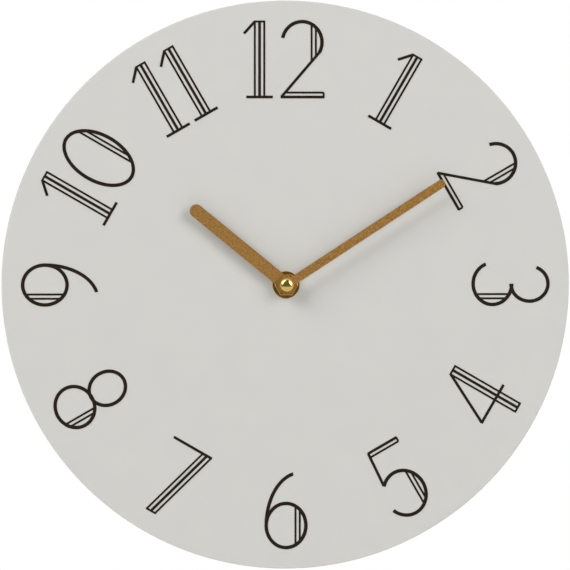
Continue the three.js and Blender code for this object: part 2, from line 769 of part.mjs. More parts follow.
// The running train, from the motor's rotor to the centre wheel, each wheel turned to mesh with its driver.
function addRunningTrain() {
	const pivotRear = coverThickness + pivotInset / 2;
	const pivotFront = plateFront - pivotInset;
	const rotorAngle = 0;
	const pinionRear = intermediateRear - pinionOverrun;
	const pinionFront = intermediateFront + pinionOverrun;
	const rotor = toothed(rotorTeeth, trainModule, pinionRear, pinionFront)
		.add(disc(magnetSeatRadius, pinionFront - pinionOverrun / 2, magnetRear, shaftSides))
		.add(arbor(pivotRear, pivotFront));
	addPiece('rotor_pinion', rotor, 'whitePlastic', rotorPlace);
	const magnet = ring(arborRadius + shaftGap, magnetRadius, magnetRear, magnetFront, roundSides);
	addPiece('rotor_magnet', magnet, 'magnet', rotorPlace);

	const intermediateAngle = meshAngle(rotorBearing * turn + Math.PI, rotorAngle, rotorTeeth, intermediateTeeth);
	const intermediate = toothed(intermediateTeeth, trainModule, intermediateRear, intermediateFront)
		.add(toothed(intermediatePinionTeeth, secondsModule, secondsRear - pinionOverrun, intermediateFront))
		.add(arbor(pivotRear, pivotFront));
	addPiece('intermediate_wheel', intermediate, 'whitePlastic', { ...intermediatePlace, clockwise: -intermediateAngle });

	const towardsCentre = intermediateBearing * turn + Math.PI;
	const secondsAngle = meshAngle(towardsCentre, intermediateAngle, intermediatePinionTeeth, secondsTeeth);
	const seconds = toothed(secondsTeeth, secondsModule, secondsRear, secondsFront)
		.add(toothed(secondsPinionTeeth, thirdInModule, secondsRear, secondsPinionFront))
		.add(arbor(pivotRear, frontWallRear));
	addPiece('seconds_wheel', seconds, 'whitePlastic', { clockwise: -secondsAngle });

	const thirdAngle = meshAngle(thirdBearing * turn, secondsAngle, secondsPinionTeeth, thirdTeeth);
	const third = toothed(thirdTeeth, thirdInModule, thirdRear, thirdFront)
		.add(toothed(thirdPinionTeeth, thirdOutModule, thirdRear, centreFront + pinionOverrun))
		.add(arbor(pivotRear, pivotFront));
	addPiece('third_wheel', third, 'whitePlastic', { ...thirdPlace, clockwise: -thirdAngle });

	const centreAngle = meshAngle(thirdBearing * turn + Math.PI, thirdAngle, thirdPinionTeeth, centreTeeth);
	const centreWheel = toothed(centreTeeth, thirdOutModule, centreRear, centreFront)
		.subtract(disc(spigotRadius + shaftGap, centreRear - cutOverrun, centreFront + cutOverrun, shaftSides));
	addPiece('centre_wheel', centreWheel, 'whitePlastic', { clockwise: -centreAngle });
}

// The motion work: the minute pipe with its clutch, the minute wheel with its setting knob, and the hour wheel.
function addMotionWork() {
	const boreEnd = minuteHandRear - hourPipeWall;
	const pipeProfile = [
		[0, boreEnd],
		[minutePipeBore, boreEnd],
		[minutePipeBore, ringRear],
		[spigotRadius, ringRear],
		[spigotRadius, collarRear],
		[collarRadius, collarRear],
		[collarRadius, collarFront],
		[spigotRadius, collarFront],
		[spigotRadius, cannonRear],
		[minutePipeRadius, cannonRear],
		[minutePipeRadius, minuteHandRear],
		[minuteEndRadius, minuteHandRear],
		[minuteEndRadius, minuteHandRear + minuteEndLength],
		[0, minuteHandRear + minuteEndLength],
	];
	const cannon = toothed(cannonTeeth, motionModule, cannonRear, cannonFront)
		.subtract(disc(minutePipeRadius - hourPipeWall / 2, cannonRear - cutOverrun, cannonFront + cutOverrun));
	addPiece('minute_pipe', turned(pipeProfile).add(cannon), 'turnedBrass');
	addPiece('clutch_spring', clutchSpring(), 'steel');
	const retainingRing = ring(spigotRadius + shaftGap, ringRadius, ringRear, ringFront);
	addPiece('retaining_ring', retainingRing, 'steel');

	const minuteAngle = meshAngle(minuteWheelBearing * turn, 0, cannonTeeth, minuteWheelTeeth);
	const knobBottom = knobRecess + knobFloor + slipGap;
	const minuteWheel = toothed(minuteWheelTeeth, motionModule, minuteWheelRear, minuteWheelFront)
		.add(toothed(minutePinionTeeth, motionModule, minuteWheelRear, hourWheelFront + pinionOverrun))
		.add(arbor(knobBottom, hourWheelFront, stemRadius))
		.add(arbor(hourWheelFront, frontWallRear + stemPivotLength - slipGap, stemPivotRadius));
	const minutePlace = { ...minuteWheelPlace, clockwise: -minuteAngle };
	addPiece('minute_wheel', minuteWheel, 'whitePlastic', minutePlace);
	addPiece('setting_knob', knobSolid(), 'whitePlastic', minutePlace);

	const hourAngle = meshAngle(minuteWheelBearing * turn + Math.PI, minuteAngle, minutePinionTeeth, hourWheelTeeth);
	const pipeEnd = hourHandFront + colletLip;
	const hourBore = hourPipeRadius - hourPipeWall;
	const hourWheel = toothed(hourWheelTeeth, motionModule, hourWheelRear, hourWheelFront)
		.add(disc(hourHubRadius, hourWheelRear, frontWallRear - seatGap))
		.add(disc(hourPipeRadius, hourWheelRear, pipeEnd))
		.subtract(disc(hourBore, hourWheelRear - cutOverrun, pipeEnd + cutOverrun));
	addPiece('hour_wheel', hourWheel, 'whitePlastic', { clockwise: -hourAngle });
}

// A dished washer that presses the centre wheel, its wide edge on the wheel and its bore by the collar.
function clutchSpring() {
	const bore = spigotRadius + shaftGap;
	const wideRear = centreFront + slipGap;
	const narrowFront = wideRear + clutchRise;
	return turned([
		[bore, narrowFront - clutchThickness],
		[clutchRadius, wideRear],
		[clutchRadius, wideRear + clutchThickness],
		[bore, narrowFront],
		[bore, narrowFront - clutchThickness],
	]);
}

// A knurled disc from the recess in the cover, with a blind hole for the stem.
function knobSolid() {
	const hole = disc(stemRadius + shaftGap, knobRecess + knobFloor, knobFront + cutOverrun, shaftSides);
	return plate(starShape(knobGrips, knobRadius, knobRadius - knobGrip), knobRecess, knobFront).subtract(hole);
}

function addMotor() {
	const [left, right] = [statorLeft, coilX + coreWidth / 2];
	const [inner, outer] = [armInner, armOuter];
	const outline = [
		[left, -outer], [right, -outer], [right, -inner], [statorRight, -inner],
		[statorRight, inner], [right, inner], [right, outer], [left, outer],
	];
	const shape = new THREE.Shape(outline.map(([x, z]) => new THREE.Vector2(x, rotorPlace.z + z)));
	const window = disc(magnetRadius + magnetAirGap, statorRear - cutOverrun, statorFront + cutOverrun);
	const stator = plate(shape, statorRear, statorFront).subtract(moved(window, rotorPlace.x, rotorPlace.z));
	addPiece('stator', stator, 'steel');
	const coil = { x: coilX, z: rotorPlace.z };
	const core = box(-coreWidth / 2, coreWidth / 2, -armOuter, armOuter, coreRear, statorRear);
	addPiece('coil_core', core, 'steel', coil);
	const flangeInner = coilLength / 2;
	const bobbin = upright([
		[bobbinBore, -bobbinHalf],
		[bobbinFlangeRadius, -bobbinHalf],
		[bobbinFlangeRadius, -flangeInner],
		[bobbinRadius, -flangeInner],
		[bobbinRadius, flangeInner],
		[bobbinFlangeRadius, flangeInner],
		[bobbinFlangeRadius, bobbinHalf],
		[bobbinBore, bobbinHalf],
		[bobbinBore, -bobbinHalf],
	]);
	addPiece('coil_bobbin', bobbin, 'whitePlastic', { ...coil, depth: coilDepth });
	const windingHalf = flangeInner - slipGap;
	const windingBore = bobbinRadius + shaftGap;
	const winding = upright([
		[windingBore, -windingHalf],
		[windingRadius, -windingHalf],
		[windingRadius, windingHalf],
		[windingBore, windingHalf],
		[windingBore, -windingHalf],
	]);
	addPiece('coil_winding', winding, 'copper', { ...coil, depth: coilDepth });
}

// A ring turned about a vertical axis, from a profile of [radius, height] points.
function upright(profile) {
	const geometry = new THREE.LatheGeometry(profile.map(([radius, z]) => new THREE.Vector2(radius, z)), fineSides / 2);
	geometry.rotateX(Math.PI / 2);
	return solidOf(geometry);
}

// A rod turned about the X axis, from a profile of [radius, x] points.
function sideways(profile, sides) {
	const geometry = new THREE.LatheGeometry(profile.map(([radius, x]) => new THREE.Vector2(radius, x)), sides);
	geometry.rotateZ(-Math.PI / 2);
	return solidOf(geometry);
}

function addElectronics() {
	const outline = roundedRectangle(-circuitHalf, circuitHalf, circuitBottom, circuitTop, innerCorner);
	addPiece('circuit_board', plate(outline, circuitRear, plateRear), 'circuit');
	const middleZ = (circuitBottom + circuitTop) / 2;
	const chip = turned([
		[0, circuitRear],
		[chipRadius, circuitRear],
		[chipRadius * Math.cos(Math.PI / 6), circuitRear - chipHeight / 2],
		[chipRadius / 2, circuitRear - chipHeight * Math.cos(Math.PI / 6)],
		[0, circuitRear - chipHeight],
	], shaftSides);
	addPiece('chip_cap', chip, 'resin', { z: middleZ });
	const crystal = sideways([[0, 0], [crystalRadius, 0], [crystalRadius, crystalLength], [0, crystalLength]], shaftSides);
	const crystalDepth = circuitRear - crystalRadius - slipGap;
	addPiece('quartz_crystal', crystal, 'steel', { x: chipRadius + crystalLength / 2, z: middleZ, depth: crystalDepth });
}

function addBattery() {
	const depth = batteryInset + batteryRadius;
	const can = [[0, batteryEndX], [batteryRadius, batteryEndX], [batteryRadius, batteryShoulderX], [0, batteryShoulderX]];
	addPiece('battery_cell', sideways(can, roundSides), 'batterySleeve', { z: batteryZ, depth });
	const tip = [
		[0, batteryShoulderX],
		[batteryTipRadius, batteryShoulderX],
		[batteryTipRadius, batteryTipX],
		[0, batteryTipX],
	];
	addPiece('battery_terminal', sideways(tip, shaftSides), 'steel', { z: batteryZ, depth });
	addContacts(depth);
}

// Each contact runs up the side wall from its end of the battery to a foot on the circuit board.
function addContacts(batteryDepth) {
	const [rear, front] = [circuitRear - contactWidth, circuitRear];
	const footBottom = circuitBottom + coilGap;
	const stripBottom = batteryZ - contactWidth;
	const tail = (side) => {
		const wallX = side * roomHalf;
		const faceX = side * (roomHalf - contactThickness);
		const footX = side * (circuitHalf - contactFoot);
		const strip = box(Math.min(wallX, faceX), Math.max(wallX, faceX), stripBottom, footBottom + contactFoot, rear, front);
		const foot = box(
			Math.min(wallX, footX), Math.max(wallX, footX),
			footBottom, footBottom + contactFoot,
			circuitRear - contactThickness, circuitRear,
		);
		return strip.add(foot);
	};
	addPiece('positive_contact', tail(1), 'steel');
	const bow = new THREE.Shape();
	const wallX = -roomHalf;
	const tipX = batteryEndX - seatGap;
	const half = contactWidth;
	bow.moveTo(wallX, batteryZ - half);
	bow.quadraticCurveTo(2 * tipX - wallX, batteryZ, wallX, batteryZ + half);
	bow.lineTo(wallX, batteryZ + half - contactThickness);
	const innerReach = 2 * (tipX - contactThickness) - wallX;
	bow.quadraticCurveTo(innerReach, batteryZ, wallX, batteryZ - half + contactThickness);
	bow.closePath();
	const spring = plate(bow, batteryDepth - contactWidth / 2, batteryDepth + contactWidth / 2, shaftSides);
	addPiece('negative_contact', tail(-1).add(spring), 'steel');
}

addDial();
addFigures();
addHands();
addHubFittings();
addCase();
addCover();
addHangingTab();
addTrainPlate();
addRunningTrain();
addMotionWork();
addMotor();
addElectronics();
addBattery();

export default clock;
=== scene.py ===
# Looks of a round wall clock: a pale printed dial on a fibreboard disc, bronze hands, a brass hub and a
# quartz movement behind. Metres, +Z up; the dial faces -Y and the hands turn on the line x = z = 0. A depth
# is measured from the wall towards the viewer, so depth d lies at y = -d.
import json
import math

import bpy
from mathutils import Euler, Matrix, Vector


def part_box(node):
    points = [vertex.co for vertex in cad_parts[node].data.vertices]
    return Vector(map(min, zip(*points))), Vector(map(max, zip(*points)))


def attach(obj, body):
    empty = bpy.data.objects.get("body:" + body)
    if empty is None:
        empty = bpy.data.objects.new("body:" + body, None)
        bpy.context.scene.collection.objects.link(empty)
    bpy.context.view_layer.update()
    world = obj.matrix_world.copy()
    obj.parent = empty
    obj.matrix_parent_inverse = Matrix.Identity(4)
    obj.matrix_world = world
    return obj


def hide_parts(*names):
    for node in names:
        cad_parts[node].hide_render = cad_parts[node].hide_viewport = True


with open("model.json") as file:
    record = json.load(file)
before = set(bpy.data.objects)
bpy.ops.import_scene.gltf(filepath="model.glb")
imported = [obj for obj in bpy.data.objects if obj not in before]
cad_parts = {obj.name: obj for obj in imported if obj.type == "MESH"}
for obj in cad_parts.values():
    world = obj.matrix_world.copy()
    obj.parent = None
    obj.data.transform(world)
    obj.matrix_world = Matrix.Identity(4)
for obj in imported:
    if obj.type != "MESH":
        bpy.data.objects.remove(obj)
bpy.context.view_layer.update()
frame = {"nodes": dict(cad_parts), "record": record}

MM = 0.001

# Framing: the photograph's width, and in its pixels the hub's place and the dial's radius. The camera
# stands a little to the left of square on, and a little above.
PHOTO_PIXELS = 570
HUB_PX = (286.05, 284.8)
DIAL_RADIUS_PX = 284.1
CAMERA_DISTANCE = 2.6
CAMERA_LEFT = math.radians(3.1)
CAMERA_RISE = math.radians(0.9)
SENSOR = 36

# Light: the level of the room, and each softbox's angle off the dial's axis, angle round it from the right,
# width across the axis, length round it, and watts. Two stand in front, and two behind to light the clock's
# back.
AMBIENT = 0.25
LIGHT_DISTANCE = 4.0
SOFTBOXES = {
    "softbox_left": (60, 141, 2.1, 2.2, 93.0),
    "softbox_right": (46, 30, 2.0, 2.0, 67.0),
    "softbox_rear_left": (130, 150, 2.8, 2.8, 68.0),
    "softbox_rear_right": (130, 30, 2.8, 2.8, 68.0),
}

# The dark cloth hung round the front, which shows only in metal: its radius, its top above the hub, its
# level, and how far in front of the wall its side edges stand
SCREEN_RADIUS = 5.0
SCREEN_TOP = 9.0
SCREEN_LEVEL = 0.16
SCREEN_SIDE = 0.8

# Two white cards behind the front softboxes, which lengthen their glints in the metal: angle off the dial's
# axis, angle round it, width across the axis and length round it
CARD_DISTANCE = 4.5
CARD_LEVEL = 3.0
CARDS = {
    "card_left": (53, 140, 2.0, 5.4),
    "card_right": (50, 24, 1.8, 5.4),
}

# The floor: how far it lies below the hub, its width, and the distances between which it fades to white
FLOOR_DROP = 1.3
FLOOR_SIZE = 60.0
FLOOR_FADE = (1.8, 6.0)

# Places of the arbors in the movement, x and z in millimetres
MINUTE_WHEEL = (-9.397, 3.42)
THIRD_WHEEL = (0, 9)
INTERMEDIATE_WHEEL = (9.1, 0)
ROTOR = (14.403, 5.303)

# Heights of the snap hooks that hold the rear cover in the case, in millimetres
SNAP_HEIGHTS = (-18, 18)

# The angles of the hands, clockwise from upright, in degrees
HOUR_ANGLE = 309.34
MINUTE_ANGLE = 56.83

# Sizes that several pieces share, in millimetres: the radius of the holes that clear the bushing's thread,
# the corners of the movement's outline, its walls, the thickness of its rear cover, and how far a cutter
# runs past what it cuts
THREAD_HOLE = 4.05
CORNER = 3.0
WALL = 1.2
COVER_THICKNESS = 1.5
PAST = 1

# Sides of the dial's circle, which is the largest one in view
DIAL_SIDES = 192


def linear(hex_colour):
    """An sRGB hex colour as linear red, green, blue and alpha."""
    channels = [int(hex_colour[i:i + 2], 16) / 255 for i in (1, 3, 5)]
    curved = [c / 12.92 if c <= 0.04045 else ((c + 0.055) / 1.055) ** 2.4 for c in channels]
    return (*curved, 1.0)


def per_metre(millimetres):
    """The scale of a pattern whose features are this many millimetres across."""
    return 1 / (millimetres * MM)


def feed(made, node, inputs):
    """Gives a node's inputs plain values or the outputs of other nodes."""
    for socket, value in inputs.items():
        if isinstance(value, bpy.types.NodeSocket):
            made.node_tree.links.new(value, node.inputs[socket])
        else:
            node.inputs[socket].default_value = value


def add(made, kind, inputs, **settings):
    """Adds a node to a material, with its settings and inputs."""
    node = made.node_tree.nodes.new(kind)
    for name, value in settings.items():
        setattr(node, name, value)
    feed(made, node, inputs)
    return node


def coat(made, inputs):
    """Feeds the material's shader."""
    feed(made, made.node_tree.nodes["Principled BSDF"], inputs)
    return made


def new_finish(name, colour, roughness, metallic=0.0):
    """A material with its shader's plain colour, roughness and metallic, and its Object coordinates."""
    made = bpy.data.materials.new(name)
    made.use_nodes = True
    coat(made, {"Base Color": linear(colour), "Roughness": roughness, "Metallic": metallic})
    return made, add(made, "ShaderNodeTexCoord", {}).outputs["Object"]


def off_axis(made, spot):
    """The distance of a point from the line that the hands turn on."""
    across = add(made, "ShaderNodeMapping", {"Vector": spot, "Scale": (1, 0, 1)})
    radius = add(made, "ShaderNodeVectorMath", {0: across.outputs["Vector"]}, operation="LENGTH")
    return radius.outputs["Value"]


def seen(made):
    """1 for a ray from the camera and for one that metal or glass sends on, and 0 for the light on the
    object."""
    rays = add(made, "ShaderNodeLightPath", {})
    shown = add(made, "ShaderNodeMath", {
        0: rays.outputs["Is Camera Ray"], 1: rays.outputs["Is Glossy Ray"],
    }, operation="MAXIMUM")
    passed = add(made, "ShaderNodeMath", {
        0: shown.outputs[0], 1: rays.outputs["Is Transmission Ray"],
    }, operation="MAXIMUM")
    return passed.outputs[0]


def printed_paper():
    """Coated paper, printed pale warm grey: nearly even, with the faintest clouds and a fine dry tooth."""
    made, spot = new_finish("printed_paper", "#d1d0cc", 0.8)
    clouds = add(made, "ShaderNodeTexNoise", {"Vector": spot, "Scale": per_metre(20), "Detail": 3.0})
    shade = add(made, "ShaderNodeMix", {
        0: clouds.outputs["Fac"], 6: linear("#cfcecb"), 7: linear("#d3d2cd"),
    }, data_type="RGBA")
    tooth = add(made, "ShaderNodeTexNoise", {"Vector": spot, "Scale": per_metre(0.9), "Detail": 4.0})
    bump = add(made, "ShaderNodeBump", {
        "Height": tooth.outputs["Fac"], "Distance": 0.012 * MM, "Strength": 0.35,
    })
    return coat(made, {"Base Color": shade.outputs[2], "Normal": bump.outputs["Normal"]})


def fibreboard(rim):
    """Sanded medium density fibreboard: short pressed fibres in two browns. Cream primer covers the rim and
    strays a millimetre or two on to the back in a soft, uneven edge."""
    made, spot = new_finish("fibreboard", "#a58a66", 0.85)
    fibres = add(made, "ShaderNodeTexNoise", {
        "Vector": spot, "Scale": per_metre(0.7), "Detail": 5.0, "Roughness": 0.6, "Distortion": 1.2,
    })
    specks = add(made, "ShaderNodeMapRange", {
        "Value": fibres.outputs["Fac"], "From Min": 0.3, "From Max": 0.7,
    })
    board = add(made, "ShaderNodeMix", {
        0: specks.outputs["Result"], 6: linear("#9c8160"), 7: linear("#b39a77"),
    }, data_type="RGBA")
    primer = add(made, "ShaderNodeMix", {
        0: specks.outputs["Result"], 6: linear("#cbc9c1"), 7: linear("#d3d2ca"),
    }, data_type="RGBA")
    drift = add(made, "ShaderNodeTexNoise", {"Vector": spot, "Scale": per_metre(9), "Detail": 4.0})
    reach = add(made, "ShaderNodeMath", {
        0: drift.outputs["Fac"], 1: 2 * MM, 2: off_axis(made, spot),
    }, operation="MULTIPLY_ADD")
    painted = add(made, "ShaderNodeMapRange", {
        "Value": reach.outputs[0], "From Min": rim - 1.6 * MM, "From Max": rim + 0.6 * MM,
    }, interpolation_type="SMOOTHSTEP")
    surface = add(made, "ShaderNodeMix", {
        0: painted.outputs["Result"], 6: board.outputs[2], 7: primer.outputs[2],
    }, data_type="RGBA")
    bump = add(made, "ShaderNodeBump", {
        "Height": fibres.outputs["Fac"], "Distance": 0.04 * MM, "Strength": 0.5,
    })
    return coat(made, {"Base Color": surface.outputs[2], "Normal": bump.outputs["Normal"]})


def printing_ink():
    """Screen ink, a warm near-black: a soft sheen, thinner here and there so that its shade wanders."""
    made, spot = new_finish("printing_ink", "#241a11", 0.5)
    coat(made, {"Specular IOR Level": 0.1})
    film = add(made, "ShaderNodeTexNoise", {"Vector": spot, "Scale": per_metre(2.5), "Detail": 3.0})
    shade = add(made, "ShaderNodeMix", {
        0: film.outputs["Fac"], 6: linear("#1f160e"), 7: linear("#291e14"),
    }, data_type="RGBA")
    sheen = add(made, "ShaderNodeMapRange", {"Value": film.outputs["Fac"], "To Min": 0.42, "To Max": 0.6})
    return coat(made, {"Base Color": shade.outputs[2], "Roughness": sheen.outputs["Result"]})


def bronze_lacquer():
    """Metallic bronze lacquer sprayed on thin aluminium: fine flakes that sparkle unevenly in a broad
    sheen."""
    made, spot = new_finish("bronze_lacquer", "#a6793a", 0.37, 0.4)
    flakes = add(made, "ShaderNodeTexNoise", {"Vector": spot, "Scale": per_metre(1.0), "Detail": 5.0})
    lit = add(made, "ShaderNodeMapRange", {
        "Value": flakes.outputs["Fac"], "From Min": 0.35, "From Max": 0.65,
    })
    shade = add(made, "ShaderNodeMix", {
        0: lit.outputs["Result"], 6: linear("#93672b"), 7: linear("#b78b49"),
    }, data_type="RGBA")
    gloss = add(made, "ShaderNodeMapRange", {
        "Value": flakes.outputs["Fac"], "To Min": 0.43, "To Max": 0.31,
    })
    bump = add(made, "ShaderNodeBump", {
        "Height": flakes.outputs["Fac"], "Distance": 0.015 * MM, "Strength": 0.4,
    })
    return coat(made, {
        "Base Color": shade.outputs[2], "Roughness": gloss.outputs["Result"],
        "Normal": bump.outputs["Normal"],
    })


def turned_brass():
    """Brass as it leaves the lathe: fine concentric tool lines on a warm yellow that browns where it was
    handled."""
    made, spot = new_finish("turned_brass", "#c19243", 0.18, 1.0)
    turns = add(made, "ShaderNodeMath", {
        0: off_axis(made, spot), 1: 2 * math.pi * per_metre(0.35),
    }, operation="MULTIPLY")
    lines = add(made, "ShaderNodeMath", {0: turns.outputs[0]}, operation="SINE")
    touch = add(made, "ShaderNodeTexNoise", {"Vector": spot, "Scale": per_metre(1.6), "Detail": 3.0})
    shade = add(made, "ShaderNodeMix", {
        0: touch.outputs["Fac"], 6: linear("#a57733"), 7: linear("#daab54"),
    }, data_type="RGBA")
    bump = add(made, "ShaderNodeBump", {
        "Height": lines.outputs[0], "Distance": 0.002 * MM, "Strength": 0.5,
    })
    return coat(made, {"Base Color": shade.outputs[2], "Normal": bump.outputs["Normal"]})


def polished_brass():
    """Brass buffed to a mirror: deep yellow reflections, a little blurred where a cloth has dulled it."""
    made, spot = new_finish("polished_brass", "#dcbc6c", 0.1, 1.0)
    swirls = add(made, "ShaderNodeTexNoise", {"Vector": spot, "Scale": per_metre(0.8), "Detail": 4.0})
    gloss = add(made, "ShaderNodeMapRange", {
        "Value": swirls.outputs["Fac"], "To Min": 0.06, "To Max": 0.16,
    })
    return coat(made, {"Roughness": gloss.outputs["Result"]})


def moulded_abs():
    """Black ABS from a spark-eroded mould: a fine even grain under a low satin gloss."""
    made, spot = new_finish("moulded_abs", "#1b1b1d", 0.48)
    grain = add(made, "ShaderNodeTexNoise", {"Vector": spot, "Scale": per_metre(0.5), "Detail": 3.0})
    shade = add(made, "ShaderNodeMix", {
        0: grain.outputs["Fac"], 6: linear("#161618"), 7: linear("#212124"),
    }, data_type="RGBA")
    bump = add(made, "ShaderNodeBump", {
        "Height": grain.outputs["Fac"], "Distance": 0.03 * MM, "Strength": 0.6,
    })
    return coat(made, {"Base Color": shade.outputs[2], "Normal": bump.outputs["Normal"]})


def acetal():
    """Natural acetal, moulded: waxy off-white, a little glossier where it has been rubbed."""
    made, spot = new_finish("acetal", "#e2dfd6", 0.4)
    wax = add(made, "ShaderNodeTexNoise", {"Vector": spot, "Scale": per_metre(3), "Detail": 2.0})
    shade = add(made, "ShaderNodeMix", {
        0: wax.outputs["Fac"], 6: linear("#dcd9cf"), 7: linear("#e8e5dd"),
    }, data_type="RGBA")
    gloss = add(made, "ShaderNodeMapRange", {"Value": wax.outputs["Fac"], "To Min": 0.33, "To Max": 0.47})
    return coat(made, {"Base Color": shade.outputs[2], "Roughness": gloss.outputs["Result"]})


def nitrile_rubber():
    """Black nitrile rubber sheet: dull and dry, with the fine tooth of the cloth it was pressed against."""
    made, spot = new_finish("nitrile_rubber", "#181818", 0.9)
    cloth = add(made, "ShaderNodeTexChecker", {
        "Vector": spot, "Scale": per_metre(0.6), "Color1": linear("#141414"), "Color2": linear("#1d1d1d"),
    })
    bump = add(made, "ShaderNodeBump", {
        "Height": cloth.outputs["Fac"], "Distance": 0.02 * MM, "Strength": 0.4,
    })
    return coat(made, {"Base Color": cloth.outputs["Color"], "Normal": bump.outputs["Normal"]})


def plated_steel():
    """Nickel-plated strip steel: pale grey, with long faint rolling lines that stretch its reflections."""
    made, spot = new_finish("plated_steel", "#b9b7b0", 0.3, 1.0)
    along = add(made, "ShaderNodeMapping", {"Vector": spot, "Scale": (1, 1, 0.08)})
    rolled = add(made, "ShaderNodeTexNoise", {
        "Vector": along.outputs["Vector"], "Scale": per_metre(0.3), "Detail": 4.0,
    })
    shade = add(made, "ShaderNodeMix", {
        0: rolled.outputs["Fac"], 6: linear("#a6a49d"), 7: linear("#c6c4be"),
    }, data_type="RGBA")
    gloss = add(made, "ShaderNodeMapRange", {
        "Value": rolled.outputs["Fac"], "To Min": 0.24, "To Max": 0.42,
    })
    return coat(made, {"Base Color": shade.outputs[2], "Roughness": gloss.outputs["Result"]})


def sintered_magnet():
    """Sintered magnet: dark grey and matt, with grains that glitter slightly."""
    made, spot = new_finish("sintered_magnet", "#3d3e41", 0.45, 0.8)
    grains = add(made, "ShaderNodeTexVoronoi", {"Vector": spot, "Scale": per_metre(0.3)})
    shade = add(made, "ShaderNodeMix", {
        0: grains.outputs["Distance"], 6: linear("#4c4d51"), 7: linear("#2f3033"),
    }, data_type="RGBA")
    return coat(made, {"Base Color": shade.outputs[2]})


def enamelled_copper():
    """Fine enamelled copper wire in close turns, drawn coarser than the wire so that it shows. Each turn
    has a painted highlight along it and painted shade in the groove to the next."""
    made, spot = new_finish("enamelled_copper", "#a9643a", 0.3, 1.0)
    turns = add(made, "ShaderNodeTexWave", {"Vector": spot, "Scale": per_metre(1.0)}, bands_direction="Z")
    # painted highlight along each turn of wire and painted shade in the grooves between turns, in the wave
    # bands
    shade = add(made, "ShaderNodeMix", {
        0: turns.outputs["Fac"], 6: linear("#7d4226"), 7: linear("#c27d4d"),
    }, data_type="RGBA")
    bump = add(made, "ShaderNodeBump", {
        "Height": turns.outputs["Fac"], "Distance": 0.05 * MM, "Strength": 0.8,
    })
    return coat(made, {"Base Color": shade.outputs[2], "Normal": bump.outputs["Normal"]})


def phenolic_board():
    """Phenolic paper board: brown paper fibres under a thin gloss of resin."""
    made, spot = new_finish("phenolic_board", "#7a5a26", 0.4)
    fibres = add(made, "ShaderNodeTexNoise", {"Vector": spot, "Scale": per_metre(1.2), "Detail": 5.0})
    shade = add(made, "ShaderNodeMix", {
        0: fibres.outputs["Fac"], 6: linear("#664919"), 7: linear("#8d6b33"),
    }, data_type="RGBA")
    return coat(made, {"Base Color": shade.outputs[2]})


def potting_resin():
    """Black epoxy dropped on the chip: it settled glossy, with a slow ripple."""
    made, spot = new_finish("potting_resin", "#101011", 0.22)
    ripple = add(made, "ShaderNodeTexNoise", {"Vector": spot, "Scale": per_metre(1.5), "Detail": 2.0})
    bump = add(made, "ShaderNodeBump", {
        "Height": ripple.outputs["Fac"], "Distance": 0.06 * MM, "Strength": 0.4,
    })
    return coat(made, {"Normal": bump.outputs["Normal"]})


def battery_film():
    """Shrunk printed film on a steel can: deep blue, with a narrow pale band near the positive end and bare
    steel where the film stops short of both ends."""
    made, spot = new_finish("battery_film", "#23467c", 0.28, 0.3)
    band_place, band_reach, bare_end = 7 * MM, 1.2 * MM, 0.8 * MM
    low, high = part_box("battery_cell")
    place = add(made, "ShaderNodeSeparateXYZ", {"Vector": spot})
    tone = add(made, "ShaderNodeTexNoise", {"Vector": spot, "Scale": per_metre(6), "Detail": 2.0})
    blue = add(made, "ShaderNodeMix", {
        0: tone.outputs["Fac"], 6: linear("#1f3f70"), 7: linear("#294f8a"),
    }, data_type="RGBA")
    off_band = add(made, "ShaderNodeMath", {
        0: place.outputs["X"], 1: high.x - band_place,
    }, operation="SUBTRACT")
    from_band = add(made, "ShaderNodeMath", {0: off_band.outputs[0]}, operation="ABSOLUTE")
    banded = add(made, "ShaderNodeMath", {0: from_band.outputs[0], 1: band_reach}, operation="LESS_THAN")
    printed = add(made, "ShaderNodeMix", {
        0: banded.outputs[0], 6: blue.outputs[2], 7: linear("#c9cbd0"),
    }, data_type="RGBA")
    off_middle = add(made, "ShaderNodeMath", {
        0: place.outputs["X"], 1: (low.x + high.x) / 2,
    }, operation="SUBTRACT")
    from_middle = add(made, "ShaderNodeMath", {0: off_middle.outputs[0]}, operation="ABSOLUTE")
    bare = add(made, "ShaderNodeMath", {
        0: from_middle.outputs[0], 1: (high.x - low.x) / 2 - bare_end,
    }, operation="GREATER_THAN")
    surface = add(made, "ShaderNodeMix", {
        0: bare.outputs[0], 6: printed.outputs[2], 7: linear("#b5b4af"),
    }, data_type="RGBA")
    return coat(made, {"Base Color": surface.outputs[2]})


FINISHES = {
    "dial_paper": printed_paper(),
    "fibreboard": fibreboard(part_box("dial_board")[1].x),
    "ink": printing_ink(),
    "bronze_paint": bronze_lacquer(),
    "polished_brass": polished_brass(),
    "turned_brass": turned_brass(),
    "black_plastic": moulded_abs(),
    "white_plastic": acetal(),
    "black_rubber": nitrile_rubber(),
    "steel": plated_steel(),
    "magnet": sintered_magnet(),
    "copper_wire": enamelled_copper(),
    "circuit": phenolic_board(),
    "resin": potting_resin(),
    "battery_sleeve": battery_film(),
}


def dress_frame():
    """Each node of the frame wears the finish of its material slot."""
    for part in frame["record"]["subparts"]:
        mesh = frame["nodes"][part["node"]].data
        mesh.materials.clear()
        mesh.materials.append(FINISHES[part["material_slot"]])


def rear_and_front(node):
    """The depths of a node's back and front in millimetres."""
    low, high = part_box(node)
    return -high.y / MM, -low.y / MM


def width_of(node):
    """The width of a node in millimetres."""
    low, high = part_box(node)
    return (high.x - low.x) / MM


def activate(piece):
    """Makes a piece the only one selected, and the active one."""
    bpy.ops.object.select_all(action="DESELECT")
    piece.select_set(True)
    bpy.context.view_layer.objects.active = piece


